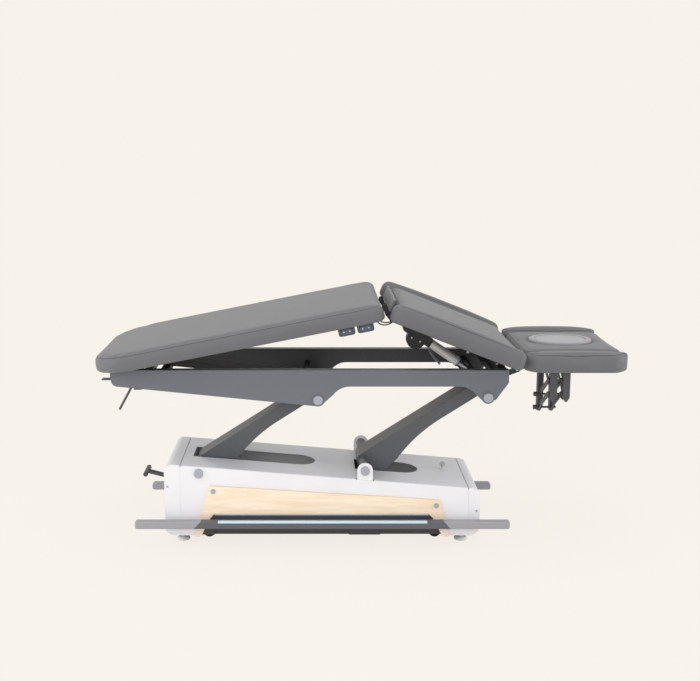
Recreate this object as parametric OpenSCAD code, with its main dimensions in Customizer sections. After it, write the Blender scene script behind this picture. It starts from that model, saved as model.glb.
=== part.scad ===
// Height-adjustable treatment table with a leg section, a back section and a head section.
// X runs from the foot end to the head end, Y across, Z up. The floor is at Z = 0.

/* [Base] */
// Half length of the base covers
base_half_l = 610; // [600:2:620]
// Half width of the base covers
base_half_w = 200; // [196:1:204]
// Height of the sloping top cover over the middle of the base
cover_mid_h = 281; // [279:1:283]
// Fall of the top cover towards the head end, in degrees
cover_fall = 4.66; // [4.4:0.02:4.8]
// Sheet thickness of the covers
cover_t = 2; // [1.6:0.1:2.4]
// Height of the lower edge of the covers
cover_floor = 42; // [40:1:46]
// Half length of the foot bars
bar_half_l = 722; // [700:2:740]
// Height of the underside of the foot bars
bar_z = 85; // [83:1:87]
// Diameter of a height foot
foot_d = 50; // [44:1:54]

/* [Lift] */
// Place of the lower head pivot along the base
head_pivot_x = 165; // [163:1:167]
// Height of the lower head pivot
head_pivot_z = 303; // [302:1:304]
// Distance from the lower foot pivot to the lower head pivot
pivot_gap = 642; // [640:1:644]
// Rise of the pivot line from foot to head
pivot_rise = 10; // [9:1:11]
// Distance between the two pivots of a lift arm
arm_l = 548; // [544:1:552]
// Slope of the lift arms at rest, in degrees
arm_rise = 32.8; // [32:0.1:33.6]
// Width of a lift arm
arm_w = 120; // [112:1:124]
// Diameter of the lift axles
axle_d = 25; // [24:0.5:26]

/* [Upper frame] */
// Outer width over the side plates
frame_w = 450; // [446:1:456]
// Thickness of the side plates
plate_t = 4; // [3:0.5:5]
// Depth of the side plates between the pivots
plate_depth = 63; // [60:1:66]
// Reach of the side plates past the foot pivot
foot_reach = 780; // [770:2:790]
// Reach of the side plates past the head pivot
head_reach = 76; // [74:1:78]
// Height of the side plates over the head pivot
plate_over = 105; // [104:1:106]

/* [Leg section] */
// Width of the leg and back sections
couch_w = 700; // [680:2:720]
// Overhang of the leg cushion past the roller axle
leg_over = 108; // [98:1:114]
// Plan radius of the leg cushion's foot-end corners
leg_foot_r = 185; // [150:5:200]
// Distance from the peak hinge to the roller axle along the leg section
roller_reach = 1011; // [1005:1:1016]
// Thickness of the padding
pad_t = 56; // [50:1:60]
// Thickness of the boards
board_t = 12; // [9:1:14]

/* [Back section] */
// Fall of the back section at rest, in degrees
back_fall = 21.4; // [20.6:0.1:22]
// Distance from the frame hinge to the peak hinge along the back section
peak_reach = 545; // [540:1:550]
// Length of the back pads
back_l = 528; // [522:1:530]
// Width of a back bolster
bolster_w = 76; // [68:1:84]

/* [Head section] */
// Length of the head pad
head_l = 388; // [378:1:395]
// Width of the head pad
head_w = 418; // [410:1:422]
// Length of the armrest pads
armrest_l = 386; // [372:1:392]
// Width of an armrest pad
armrest_w = 102; // [92:1:110]
// Distance from the head pad's start to the middle of the face hole
face_place = 187; // [184:1:190]
// Length of the face hole
face_l = 246; // [230:1:250]
// Width of the face hole
face_w = 205; // [190:1:210]

/* [Hidden] */
$fn = 48;

// Running clearance between a shaft and its bore, on the radius
run_gap = 0.05;
// Gap between pieces that only lie close together
seat_gap = 0.3;
// Clearance at a pivot of an opened linkage
open_gap = 1;
// Overrun of cutting shapes
over = 1;
// A length past every piece, for cutting shapes
far_out = 2000;

// Colours
white = [0.93, 0.93, 0.94];
cover_grey = [0.86, 0.86, 0.87];
birch = [0.97, 0.88, 0.76];
frame_grey = [0.43, 0.44, 0.47];
dark_grey = [0.33, 0.34, 0.36];
arm_grey = [0.38, 0.385, 0.40];
cap_grey = [0.66, 0.67, 0.70];
steel_grey = [0.70, 0.70, 0.71];
black = [0.09, 0.09, 0.10];
upholstery = [0.50, 0.49, 0.50];
plug_grey = [0.70, 0.69, 0.71];
glow = [0.80, 0.87, 0.92];

// Places of the lift pivots
foot_pivot_x = head_pivot_x - pivot_gap;
foot_pivot_z = head_pivot_z - pivot_rise;
head_top_x = head_pivot_x + arm_l * cos(arm_rise);
head_top_z = head_pivot_z + arm_l * sin(arm_rise);
foot_top_x = foot_pivot_x + arm_l * cos(arm_rise);
foot_top_z = foot_pivot_z + arm_l * sin(arm_rise);

// Side plates
frame_left = foot_top_x - foot_reach;
frame_right = head_top_x + head_reach;
frame_top = head_top_z + plate_over;
frame_half_w = frame_w / 2;
frame_in_y = frame_half_w - plate_t;
flange_w = 35;
boss_r = 25;

// Hinge of the back and head sections
hinge_out = 34;
hinge_up = 1;
hinge_x = frame_right + hinge_out;
hinge_z = frame_top + hinge_up;
hinge_d = 16;
hinge_ring_r = 13;

// Back section, measured along the section from its hinge
back_under = 12;
peak_up = 14;
peak_local_z = back_under + peak_up;
peak_x = hinge_x - peak_reach * cos(back_fall) + peak_local_z * sin(back_fall);
peak_z = hinge_z + peak_reach * sin(back_fall) + peak_local_z * cos(back_fall);
back_pad_end = 10;
back_board_z = back_under;
back_pad_z = back_under + board_t;

// Leg section, measured along the section from the peak hinge
rail_drop = 24;
rail_z = frame_top - rail_drop;
roller_drop = hinge_z + peak_local_z - rail_z;
leg_span = norm([roller_reach, roller_drop]);
leg_rise = asin((peak_z - rail_z) / leg_span) - atan2(roller_drop, roller_reach);
leg_pad_end = 11;
leg_l = roller_reach + leg_over - leg_pad_end;
leg_board_z = -peak_up;
leg_pad_z = leg_board_z + board_t;
roller_x = peak_x - roller_reach * cos(leg_rise) + roller_drop * sin(leg_rise);

// Head section
head_gap = 15;
head_under = 5;
head_x0 = hinge_x + head_gap;
head_z0 = hinge_z + head_under;
head_pad_z = head_z0 + board_t;
head_end_x = head_x0 + head_l;
armrest_gap = 4;
armrest_in_y = head_w / 2 + armrest_gap;
armrest_up = 6;
face_x = head_x0 + face_place;

// The middle of the whole length lies over the origin
leg_tip = roller_reach + leg_over;
foot_end_x = peak_x - leg_tip * cos(leg_rise);
centre_x = (foot_end_x + head_end_x) / 2;

function unit(v) = v / norm(v);

// Points of an arc that rounds corner p between its neighbours a and b
function corner_arc(a, p, b, r, n = 5) =
  let (
    u = unit(a - p),
    v = unit(b - p),
    half = acos(max(-1, min(1, u * v))) / 2,
    c = p + unit(u + v) * (r / sin(half)),
    s = p + u * (r / tan(half)) - c,
    e = p + v * (r / tan(half)) - c
  )
  [for (i = [0:n]) c + r * unit(s * (n - i) + e * i)];

// An outline with rounded corners
function rounded(pts, radii) =
  let (n = len(pts))
  [for (i = [0:n - 1])
    each (radii[i] > 0 ? corner_arc(pts[(i + n - 1) % n], pts[i], pts[(i + 1) % n], radii[i]) : [pts[i]])];

// Moves a piece so that the table's middle lies over the origin
module stand() {
  translate([-centre_x, 0, 0]) children();
}

// Turns with the leg section at rest, origin at the peak hinge
module on_leg() {
  stand() translate([peak_x, 0, peak_z]) rotate([0, -leg_rise, 0]) children();
}

// Turns with the back section at rest, origin at the frame hinge
module on_back() {
  stand() translate([hinge_x, 0, hinge_z]) rotate([0, back_fall, 0]) children();
}

// Turns with a lift arm at rest, origin at its lower pivot
module on_arm(x, z) {
  stand() translate([x, 0, z]) rotate([0, -arm_rise, 0]) children();
}

// Pulls an outline drawn in X and Z out along Y
module slab(y0, y1) {
  translate([0, y1, 0]) rotate([90, 0, 0]) linear_extrude(y1 - y0) children();
}

// The same on both sides of the middle plane
module both_sides() {
  children();
  mirror([0, 1, 0]) children();
}

// A box between two corners
module bar(a, b) {
  translate(a) cube(b - a);
}

module rod_y(x, z, r, y0, y1) {
  translate([x, y0, z]) rotate([-90, 0, 0]) cylinder(r = r, h = y1 - y0);
}

module rod_x(x0, x1, y, z, r) {
  translate([x0, y, z]) rotate([0, 90, 0]) cylinder(r = r, h = x1 - x0);
}

// A rod between two points of a plane at one Y
module rod_xz(a, b, y, r) {
  d = b - a;
  translate([a[0], y, a[1]]) rotate([0, 90 - atan2(d[1], d[0]), 0]) cylinder(r = r, h = norm(d));
}

// A flat bar on edge between two points, with round ends
module strap(a, b, half_h, y0, y1) {
  d = b - a;
  slab(y0, y1) translate(a) rotate(atan2(d[1], d[0])) {
    circle(r = half_h);
    translate([norm(d), 0]) circle(r = half_h);
    translate([0, -half_h]) square([norm(d), 2 * half_h]);
  }
}

// Base

base_x0 = -base_half_l;
base_x1 = base_half_l;
cover_corner_r = 33;
cover_edge_r = 7;
seam_foot_x = -549;
seam_head_x = 566;
seam_gap = 2.4;
cover_foot_r = 36;
slot_half_w = 68.5;
foot_slot_x0 = foot_pivot_x - 33;
foot_slot_x1 = -28;
head_slot_x0 = head_pivot_x - 34;
head_slot_x1 = 385;
lug_r = 30;
lug_t = 8;
lug_notch = 5;
rail_w = 25;
rail_h = 56;
rail_lift = 2;
lug_foot_half = 60;
cap_r = 18;
cap_h = 9;
cap_edge = 2;
cap_bolt_r = 9;

function cover_top(x) = cover_mid_h - x * tan(cover_fall);

// Side outline of the base covers, drawn in by one wall
function cover_outline(inset, floor_z) =
  rounded(
    [
      [base_x0 + inset, floor_z],
      [base_x0 + inset, cover_top(base_x0 + inset) - inset / cos(cover_fall)],
      [base_x1 - inset, cover_top(base_x1 - inset) - inset / cos(cover_fall)],
      [base_x1 - inset, floor_z]
    ],
    [cover_foot_r - inset, cover_corner_r - inset, cover_corner_r - inset, cover_foot_r - inset]
  );

// The envelope of the covers with soft long edges
module cover_body(inset, floor_z) {
  half_w = base_half_w - inset;
  edge_r = cover_edge_r - inset;
  intersection() {
    slab(-half_w, half_w) polygon(cover_outline(inset, floor_z));
    translate([0, 0, cover_mid_h])
      rotate([0, cover_fall, 0])
        translate([-far_out / 2, 0, 0])
          rotate([90, 0, 90])
            linear_extrude(far_out)
              polygon(rounded(
                [
                  [-half_w, -far_out / 4], [-half_w, -inset],
                  [half_w, -inset], [half_w, -far_out / 4]
                ],
                [0, edge_r, edge_r, 0]
              ));
  }
}

module cover_shell(x0, x1) {
  intersection() {
    difference() {
      cover_body(0, cover_floor);
      cover_body(cover_t, cover_floor - over);
    }
    bar([x0, -far_out, 0], [x1, far_out, far_out]);
  }
}

// Slot in the top cover with a round head end
module cover_slot(x0, x1) {
  translate([0, 0, cover_top(x1) - 2 * cover_corner_r]) linear_extrude(far_out / 4) {
    translate([x1 - slot_half_w, 0]) circle(r = slot_half_w);
    translate([x0, -slot_half_w]) square([x1 - slot_half_w - x0, 2 * slot_half_w]);
  }
}

module base_cover() {
  color(white) stand() difference() {
    cover_shell(seam_foot_x + seat_gap, seam_head_x - seat_gap);
    bar([-far_out, -far_out, cover_top(seam_foot_x) - cover_edge_r - cover_t], [seam_foot_x + seam_gap, far_out, far_out]);
    bar([seam_head_x - seam_gap, -far_out, cover_top(seam_head_x) - cover_edge_r - cover_t], [far_out, far_out, far_out]);
    cover_slot(foot_slot_x0, foot_slot_x1);
    cover_slot(head_slot_x0, head_slot_x1);
    both_sides()
      bar(
        [head_pivot_x - lug_r - lug_notch, base_half_w - cover_t - lug_t - lug_notch,
          cover_top(head_pivot_x) - cover_corner_r / 2],
        [head_pivot_x + lug_r + lug_notch, base_half_w - cover_t, far_out]
      );
    rod_y(foot_pivot_x, foot_pivot_z, axle_d / 2 + seat_gap, -far_out, far_out);
    both_sides() for (x = [-hanger_x, hanger_x])
      bar([x - hanger_w / 2 - open_gap, base_half_w - 2 * cover_t, bar_z + bar_edge - bar_travel - open_gap],
        [x + hanger_w / 2 + open_gap, far_out, bar_z + bar_edge + hanger_t + open_gap]);
    translate([key_x, key_y, cover_top(key_x)]) rotate([0, cover_fall, 0])
      cylinder(r = key_barrel_r, h = far_out, center = true);
  }
}

pedal_slot_half = 16;
pedal_slot_top = 232;
pedal_slot_low = 105;
inlet_w = 50;
inlet_h = 28;
inlet_z = 150;
inlet_y = 90;
inlet_out = 3;
inlet_deep = 34;
inlet_rim = 4;

module foot_end_cover() {
  color(white) stand() difference() {
    cover_shell(-far_out, seam_foot_x);
    bar([-far_out, -pedal_slot_half, pedal_slot_low], [base_x0 + cover_corner_r, pedal_slot_half, pedal_slot_top]);
  }
}

module head_end_cover() {
  color(white) stand() difference() {
    cover_shell(seam_head_x, far_out);
    bar([base_x1 - cover_corner_r, inlet_y - inlet_w / 2, inlet_z], [far_out, inlet_y + inlet_w / 2, inlet_z + inlet_h]);
  }
}

rail_x0 = -572;
rail_x1 = 572;
rail_in_y = base_half_w - cover_t - lug_t - rail_w;
rail_top = cover_floor + rail_lift + rail_h;
cross_w = 30;
cross_h = 34;
chassis_cross_x = [-560, 560];
mid_cross_x = 40;
mid_cross_h = 16;
stay_half = 24;
motor_anchor_x = -330;
motor_anchor_z = 150;
anchor_half_w = 32;
anchor_t = 6;
anchor_pin_r = 6;
castor_shaft_x = 380;
castor_shaft_z = 84;
castor_shaft_r = 9;
shaft_boss_r = 16;
foot_x = 548;
foot_y = 128;
foot_stud_r = 6;
foot_pad_h = 14;
foot_taper = 5;

// Upright plate with an arched lug round a lift pivot
module pivot_plate(x, z, r) {
  both_sides() slab(base_half_w - cover_t - lug_t, base_half_w - cover_t - seat_gap) difference() {
    union() {
      translate([x, z]) circle(r = r);
      polygon([
        [x - r, z], [x + r, z], [x + r, rail_top + lug_foot_half],
        [x + lug_foot_half, rail_top], [x + lug_foot_half, cover_floor + rail_lift],
        [x - lug_foot_half, cover_floor + rail_lift], [x - lug_foot_half, rail_top],
        [x - r, rail_top + lug_foot_half]
      ]);
    }
    translate([x, z]) circle(r = axle_d / 2 + run_gap);
  }
}

foot_plate_r = 20;

module chassis() {
  cross_z = rail_top - cross_h;
  color(dark_grey) stand() {
    difference() {
      union() {
        both_sides() bar([rail_x0, rail_in_y, cover_floor + rail_lift], [rail_x1, rail_in_y + rail_w, rail_top]);
        for (x = chassis_cross_x)
          bar([x - cross_w / 2, -rail_in_y, cross_z], [x + cross_w / 2, rail_in_y, rail_top]);
        bar([mid_cross_x - cross_w / 2, -rail_in_y, cover_floor + rail_lift],
          [mid_cross_x + cross_w / 2, rail_in_y, cover_floor + rail_lift + mid_cross_h]);
        for (x = [-foot_x, foot_x]) both_sides()
          bar([x - cross_w, foot_y - cross_w / 2, cover_floor + rail_lift],
            [x + cross_w, rail_in_y, rail_top - cross_h]);
      }
      both_sides() for (x = [-foot_x, foot_x])
        translate([x, foot_y, 0]) cylinder(r = foot_stud_r + run_gap, h = rail_top);
      both_sides() for (s = [-1, 1])
        rod_y(s * castor_shaft_x, castor_shaft_z, castor_shaft_r + run_gap, rail_in_y - over, far_out);
    }
    // Clevis that holds the lift motor
    both_sides() slab(anchor_half_w, anchor_half_w + anchor_t) difference() {
      polygon([
        [motor_anchor_x - stay_half, motor_anchor_z], [motor_anchor_x + stay_half, motor_anchor_z],
        [motor_anchor_x + stay_half + cross_w, rail_top - cross_h],
        [motor_anchor_x - stay_half, rail_top - cross_h]
      ]);
      translate([motor_anchor_x, motor_anchor_z - stay_half / 2]) circle(r = anchor_pin_r + run_gap);
    }
    bar([motor_anchor_x - stay_half, -rail_in_y, rail_top - cross_h - cross_w / 3],
      [motor_anchor_x + stay_half + cross_w, rail_in_y, rail_top - cross_h]);
  }
  color(white) stand() {
    pivot_plate(head_pivot_x, head_pivot_z, lug_r);
    pivot_plate(foot_pivot_x, foot_pivot_z, foot_plate_r);
  }
}

// Wooden side panels with two splayed legs
panel_t = 6;
panel_x0 = -437;
panel_x1 = 457;
panel_top_drop = 72;
panel_foot_x0 = -495;
panel_foot_x1 = 493;
panel_foot_w = 23;
panel_foot_z = 39;
panel_cut_z = 132;
panel_cut_x0 = -418;
panel_cut_x1 = 412;
panel_cut_chamfer = 16;
panel_corner_r = 5;
panel_screw_in = 16;
panel_screw_down = 22;
panel_screw_r = 10;
panel_screw_h = 3;

module wood_panels() {
  top0 = cover_top(panel_x0) - panel_top_drop;
  top1 = cover_top(panel_x1) - panel_top_drop + panel_screw_in;
  pts = [
    [panel_foot_x0, panel_foot_z], [panel_x0, top0], [panel_x1, top1], [panel_foot_x1, panel_foot_z],
    [panel_foot_x1 - panel_foot_w, panel_foot_z], [panel_cut_x1 + panel_cut_chamfer, panel_cut_z - panel_cut_chamfer],
    [panel_cut_x1, panel_cut_z], [panel_cut_x0, panel_cut_z],
    [panel_cut_x0 - panel_cut_chamfer, panel_cut_z - 1.2 * panel_cut_chamfer],
    [panel_foot_x0 + panel_foot_w, panel_foot_z]
  ];
  r = panel_corner_r;
  color(birch) stand() both_sides() slab(base_half_w, base_half_w + panel_t)
    polygon(rounded(pts, [r / 2, r, r, r / 2, r / 2, r, r, r, r, r / 2]));
}

strip_x0 = -408;
strip_x1 = 398;
strip_z = 106;
strip_h = panel_cut_z - strip_z - seat_gap;
strip_t = 4;
strip_end_r = 3;

module light_strips() {
  r = strip_end_r;
  color(glow) stand() both_sides() slab(base_half_w, base_half_w + strip_t) polygon(rounded(
    [[strip_x0, strip_z], [strip_x0, strip_z + strip_h], [strip_x1, strip_z + strip_h], [strip_x1, strip_z]],
    [r, r, r, r]
  ));
}

side_screw_r = 4;
side_screw_h = 2;
side_screw_in = 12;
side_screw_z0 = 84;
side_screw_drop = 90;

// Round screws of the wooden panels and small screws of the end covers
module base_screws() {
  color(cap_grey) stand() both_sides() {
    rod_y(panel_x0 + panel_screw_in, cover_top(panel_x0) - panel_top_drop - panel_screw_down, panel_screw_r,
      base_half_w + panel_t, base_half_w + panel_t + panel_screw_h);
    rod_y(panel_x1 - panel_screw_in, cover_top(panel_x1) - panel_top_drop - panel_screw_down + panel_screw_in, panel_screw_r,
      base_half_w + panel_t, base_half_w + panel_t + panel_screw_h);
    for (x = [base_x0 + side_screw_in, base_x1 - side_screw_in])
      for (z = [side_screw_z0, cover_top(x) - side_screw_drop])
        rod_y(x, z, side_screw_r, base_half_w, base_half_w + side_screw_h);
  }
}

module base_axles() {
  color(steel_grey) stand() {
    rod_y(head_pivot_x, head_pivot_z, axle_d / 2, -(base_half_w - cover_t), base_half_w - cover_t);
    rod_y(foot_pivot_x, foot_pivot_z, axle_d / 2, -base_half_w, base_half_w);
  }
}

// Domed end cap with a shallow recess round its bolt
module axle_cap(x, z, y) {
  translate([x, y, z]) rotate([-90, 0, 0]) rotate_extrude() difference() {
    polygon([
      [0, 0], [cap_r, 0], [cap_r, cap_h - cap_edge], [cap_r - cap_edge, cap_h], [0, cap_h]
    ]);
    translate([0, cap_h - cap_edge / 2]) square([cap_bolt_r, cap_edge]);
  }
}

module base_axle_caps() {
  color(cap_grey) stand() both_sides() {
    axle_cap(head_pivot_x, head_pivot_z, base_half_w - cover_t);
    axle_cap(foot_pivot_x, foot_pivot_z, base_half_w);
  }
}

module height_feet() {
  color(white) stand() both_sides() for (x = [-foot_x, foot_x]) translate([x, foot_y, 0]) rotate_extrude() polygon([
    [0, 0], [foot_d / 2 - foot_taper / 2, 0], [foot_d / 2, foot_taper / 2], [foot_d / 2, foot_pad_h - foot_taper],
    [foot_d / 2 - foot_taper, foot_pad_h], [foot_stud_r, foot_pad_h], [foot_stud_r, rail_top - cross_h], [0, rail_top - cross_h]
  ]);
}

box_x0 = 420;
box_x1 = 540;
box_half_w = 70;
box_z0 = 104;
box_z1 = 165;

// Control box on the chassis and mains inlet in the head-end cover
module control_box() {
  color(black) stand() {
    bar([box_x0, -box_half_w, box_z0], [box_x1, box_half_w, box_z1]);
    bar([box_x1, box_half_w / 2, rail_top], [chassis_cross_x[1], box_half_w, box_z0 + inlet_h]);
    difference() {
      union() {
        bar([base_x1 - inlet_deep, inlet_y - inlet_w / 2 + seat_gap, inlet_z + seat_gap],
          [base_x1, inlet_y + inlet_w / 2 - seat_gap, inlet_z + inlet_h - seat_gap]);
        bar([base_x1, inlet_y - inlet_w / 2 - inlet_rim, inlet_z - inlet_rim],
          [base_x1 + inlet_out, inlet_y + inlet_w / 2 + inlet_rim, inlet_z + inlet_h + inlet_rim]);
      }
      bar([base_x1 - inlet_deep + inlet_rim, inlet_y - inlet_w / 2 + 2 * inlet_rim, inlet_z + inlet_rim],
        [far_out, inlet_y + inlet_w / 2 - 2 * inlet_rim, inlet_z + inlet_h - inlet_rim]);
    }
  }
}

key_x = 487;
key_y = 30;
key_barrel_r = 9;
key_rim_r = 12;
key_rim_h = 2;
key_deep = 24;
key_slot_w = 2.4;
key_slot_l = 12;

// Lock barrel in the top cover
module key_switch() {
  top = cover_top(key_x);
  color(steel_grey) stand() translate([key_x, key_y, top]) rotate([0, cover_fall, 0]) difference() {
    union() {
      translate([0, 0, -key_deep]) cylinder(r = key_barrel_r - run_gap, h = key_deep + key_rim_h);
      translate([0, 0, seat_gap]) cylinder(r = key_rim_r, h = key_rim_h);
    }
    translate([-key_slot_l / 2, -key_slot_w / 2, -key_deep / 2]) cube([key_slot_l, key_slot_w, key_deep]);
  }
}

key_t = 1.8;
key_blade_w = 8;
key_bow_r = 11;
key_bow_z = 19;
key_eye_r = 3;
ring_r = 9;
ring_wire = 1;

module key() {
  color(steel_grey) stand() translate([key_x, key_y, cover_top(key_x)]) rotate([0, cover_fall, 0]) {
    slab(-key_t / 2, key_t / 2) difference() {
      union() {
        translate([0, key_bow_z]) circle(r = key_bow_r);
        translate([-key_blade_w / 2, -key_deep / 3]) square([key_blade_w, key_bow_z]);
      }
      translate([0, key_bow_z + key_bow_r / 2]) circle(r = key_eye_r);
    }
    translate([0, 0, key_bow_z + key_bow_r / 2 - ring_r + ring_wire])
      rotate([0, 90, 0])
        rotate_extrude() translate([ring_r, 0]) circle(r = ring_wire);
  }
}

// Lift actuator between the chassis and the crank of the head arm
crank_x = -22;
crank_n = -68;
crank_pin_r = 8;
crank_px = head_pivot_x + crank_x * cos(arm_rise) - crank_n * sin(arm_rise);
crank_pz = head_pivot_z + crank_x * sin(arm_rise) + crank_n * cos(arm_rise);
anchor_pz = motor_anchor_z - stay_half / 2;
lift_a = [motor_anchor_x, anchor_pz];
lift_b = [crank_px, crank_pz];
lift_dir = unit(lift_b - lift_a);
lift_len = norm(lift_b - lift_a);
lift_tube_r = 22;
lift_rod_r = 9;
lift_rod_l = 268;
lift_bore_r = lift_rod_r + 8.2;
lift_bore_x = 190;
lift_tube_l = 330;
lift_block_r = 38;
lift_block_half = 30;
lift_motor_l = 130;
lift_motor_sink = 14;
lift_motor_y = lift_block_r + lift_block_half - lift_motor_sink;
rod_eye_half = 12;
rod_eye_r = 17;

module lift_motor() {
  end = lift_a + lift_dir * lift_tube_l;
  start = lift_a + lift_dir * lift_block_r;
  color(black) stand() difference() {
    union() {
      rod_xz(start, end, 0, lift_tube_r);
      rod_xz(start, start + lift_dir * lift_block_r, 0, lift_block_r);
      strap(lift_a, start + lift_dir * lift_block_r / 2, stay_half, -lift_block_half, lift_block_half);
      rod_xz(start, start + lift_dir * lift_motor_l, lift_motor_y, lift_block_half);
    }
    rod_y(lift_a[0], lift_a[1], anchor_pin_r + run_gap, -far_out, far_out);
    rod_xz(lift_a + lift_dir * lift_bore_x, end + lift_dir * lift_block_r, 0, lift_bore_r);
  }
  color(steel_grey) stand() rod_y(lift_a[0], lift_a[1], anchor_pin_r, -(anchor_half_w + anchor_t), anchor_half_w + anchor_t);
}

module lift_rod() {
  start = lift_b - lift_dir * lift_rod_l;
  color(steel_grey) stand() difference() {
    union() {
      rod_xz(start, lift_b, 0, lift_rod_r);
      rod_y(lift_b[0], lift_b[1], rod_eye_r, -rod_eye_half, rod_eye_half);
    }
    rod_y(lift_b[0], lift_b[1], crank_pin_r + run_gap, -far_out, far_out);
  }
}

// Foot bars along both sides
bar_w = 30;
bar_h = 31;
bar_y = 220;
bar_round = 12;
bar_edge = 5;
hanger_x = 398;
hanger_w = 24;
hanger_t = 8;
bar_travel = 6;

// One foot bar with its two carriers, on the +Y side
module foot_bar() {
  z1 = bar_z + bar_h;
  mid = bar_y + bar_w / 2;
  intersection() {
    slab(bar_y, bar_y + bar_w) polygon(rounded(
      [[-bar_half_l, bar_z], [-bar_half_l, z1], [bar_half_l, z1], [bar_half_l, bar_z]],
      [bar_round, bar_round, bar_round, bar_round]
    ));
    translate([-far_out / 2, mid, bar_z + bar_h / 2]) rotate([90, 0, 90]) linear_extrude(far_out) polygon(rounded(
      [[-bar_w / 2, -bar_h / 2], [-bar_w / 2, bar_h / 2], [bar_w / 2, bar_h / 2], [bar_w / 2, -bar_h / 2]],
      [bar_edge, bar_edge, bar_edge, bar_edge]
    ));
    translate([0, mid, 0]) linear_extrude(far_out) polygon(rounded(
      [[-bar_half_l, -bar_w / 2], [-bar_half_l, bar_w / 2], [bar_half_l, bar_w / 2], [bar_half_l, -bar_w / 2]],
      [bar_edge, bar_round, bar_round, bar_edge]
    ));
  }
  for (x = [-hanger_x, hanger_x])
    bar([x - hanger_w / 2, rail_in_y + rail_w + seat_gap, bar_z + bar_edge],
      [x + hanger_w / 2, bar_y, bar_z + bar_edge + hanger_t]);
}

module foot_bar_near() {
  color(frame_grey) stand() mirror([0, 1, 0]) foot_bar();
}

module foot_bar_far() {
  color(frame_grey) stand() foot_bar();
}

// Castors: the pedal frame carries one pair, the lever at the head end the other
castor_x = 446;
castor_y = 120;
wheel_r = 24;
wheel_half_w = 10;
wheel_lift = 8;
wheel_axle_r = 4;
fork_t = 4;
fork_half_w = 16;
lever_h = 16;
lever_w = 40;
pedal_arm_r = 9;
pedal_knee_r = 9.6;
pedal_bar_r = 9.5;
pedal_bar_half = 50;
pedal_x = -705;
pedal_z = 241;
pedal_knee_x = -440;
pedal_knee_z = 170;
link_crank = 34;
link_y = -60;
link_half_t = 4;
link_half_h = 7;
link_eye_r = 11;
link_pin_r = 5;

// Shaft, side levers and forks; s is -1 at the foot end and 1 at the head end
module castor_frame(s) {
  wheel_z = wheel_lift + wheel_r;
  fork_top = castor_shaft_z - lever_h / 2;
  difference() {
    union() {
      rod_y(s * castor_shaft_x, castor_shaft_z, castor_shaft_r, -(rail_in_y + rail_w / 2), rail_in_y + rail_w / 2);
      rod_y(s * castor_shaft_x, castor_shaft_z, shaft_boss_r, -(castor_y + lever_w / 2), castor_y + lever_w / 2);
      both_sides() {
        bar([min(s * castor_shaft_x, s * (castor_x + lever_w / 2)), castor_y - lever_w / 2, fork_top],
          [max(s * castor_shaft_x, s * (castor_x + lever_w / 2)), castor_y + lever_w / 2, castor_shaft_z + lever_h / 2]);
        for (y = [castor_y - fork_half_w, castor_y + fork_half_w - fork_t]) slab(y, y + fork_t) {
          translate([s * castor_x, wheel_z]) circle(r = 2.5 * wheel_axle_r);
          translate([s * castor_x - 2.5 * wheel_axle_r, wheel_z])
            square([5 * wheel_axle_r, fork_top - wheel_z + lever_h / 2]);
        }
      }
      // Crank of the link bar, up at the foot end and down at the head end
      strap([s * castor_shaft_x, castor_shaft_z], [s * castor_shaft_x, castor_shaft_z - s * link_crank], shaft_boss_r / 1.5,
        link_y - 3 * link_half_t - seat_gap, link_y - link_half_t - seat_gap);
      rod_y(s * castor_shaft_x, castor_shaft_z - s * link_crank, link_pin_r, link_y - 2 * link_half_t, link_y + 2 * link_half_t);
    }
    both_sides() rod_y(s * castor_x, wheel_z, wheel_axle_r + run_gap, 0, far_out);
  }
}

module castor_pedal() {
  color(dark_grey) stand() {
    castor_frame(-1);
    rod_xz([-castor_shaft_x, castor_shaft_z], [pedal_knee_x, pedal_knee_z], 0, pedal_arm_r);
    translate([pedal_knee_x, 0, pedal_knee_z]) sphere(r = pedal_knee_r);
    rod_xz([pedal_knee_x, pedal_knee_z], [pedal_x, pedal_z], 0, pedal_arm_r);
    rod_y(pedal_x, pedal_z, pedal_bar_r, -pedal_bar_half, pedal_bar_half);
  }
}

module castor_lever() {
  color(dark_grey) stand() castor_frame(1);
}

module castor_link_bar() {
  a = [-castor_shaft_x, castor_shaft_z + link_crank];
  b = [castor_shaft_x, castor_shaft_z - link_crank];
  color(steel_grey) stand() difference() {
    union() {
      strap(a, b, link_half_h, link_y - link_half_t, link_y + link_half_t);
      for (p = [a, b]) rod_y(p[0], p[1], link_eye_r, link_y - link_half_t, link_y + link_half_t);
    }
    for (p = [a, b]) rod_y(p[0], p[1], link_pin_r + open_gap, -far_out, far_out);
  }
}

// Wheel with its axle; s and t choose the end and the side
module castor_wheel(s, t) {
  color(black) stand() translate([s * castor_x, t * castor_y, wheel_lift + wheel_r]) rotate([90, 0, 0]) rotate_extrude() polygon([
    [0, -fork_half_w], [wheel_axle_r, -fork_half_w], [wheel_axle_r, -wheel_half_w], [wheel_r - wheel_axle_r / 2, -wheel_half_w],
    [wheel_r, -wheel_half_w / 2], [wheel_r, wheel_half_w / 2], [wheel_r - wheel_axle_r / 2, wheel_half_w],
    [wheel_axle_r, wheel_half_w], [wheel_axle_r, fork_half_w], [0, fork_half_w]
  ]);
}

module castor_wheel_1() {
  castor_wheel(-1, -1);
}

module castor_wheel_2() {
  castor_wheel(-1, 1);
}

module castor_wheel_3() {
  castor_wheel(1, -1);
}

module castor_wheel_4() {
  castor_wheel(1, 1);
}

// Lift arms

arm_top_n = 28;
arm_low_n = 21;
arm_sag_x = 345;
arm_sag_r = 597;
arm_deep_x = 30;
arm_wall = 6;
sleeve_r = 19;
collar_r = 22;
lower_sleeve_gap = 0.5;
arm_heel_r = 32;
heel_x = -19;
heel_n = -84;
arm_ribs = [170, 300, 430];

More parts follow.
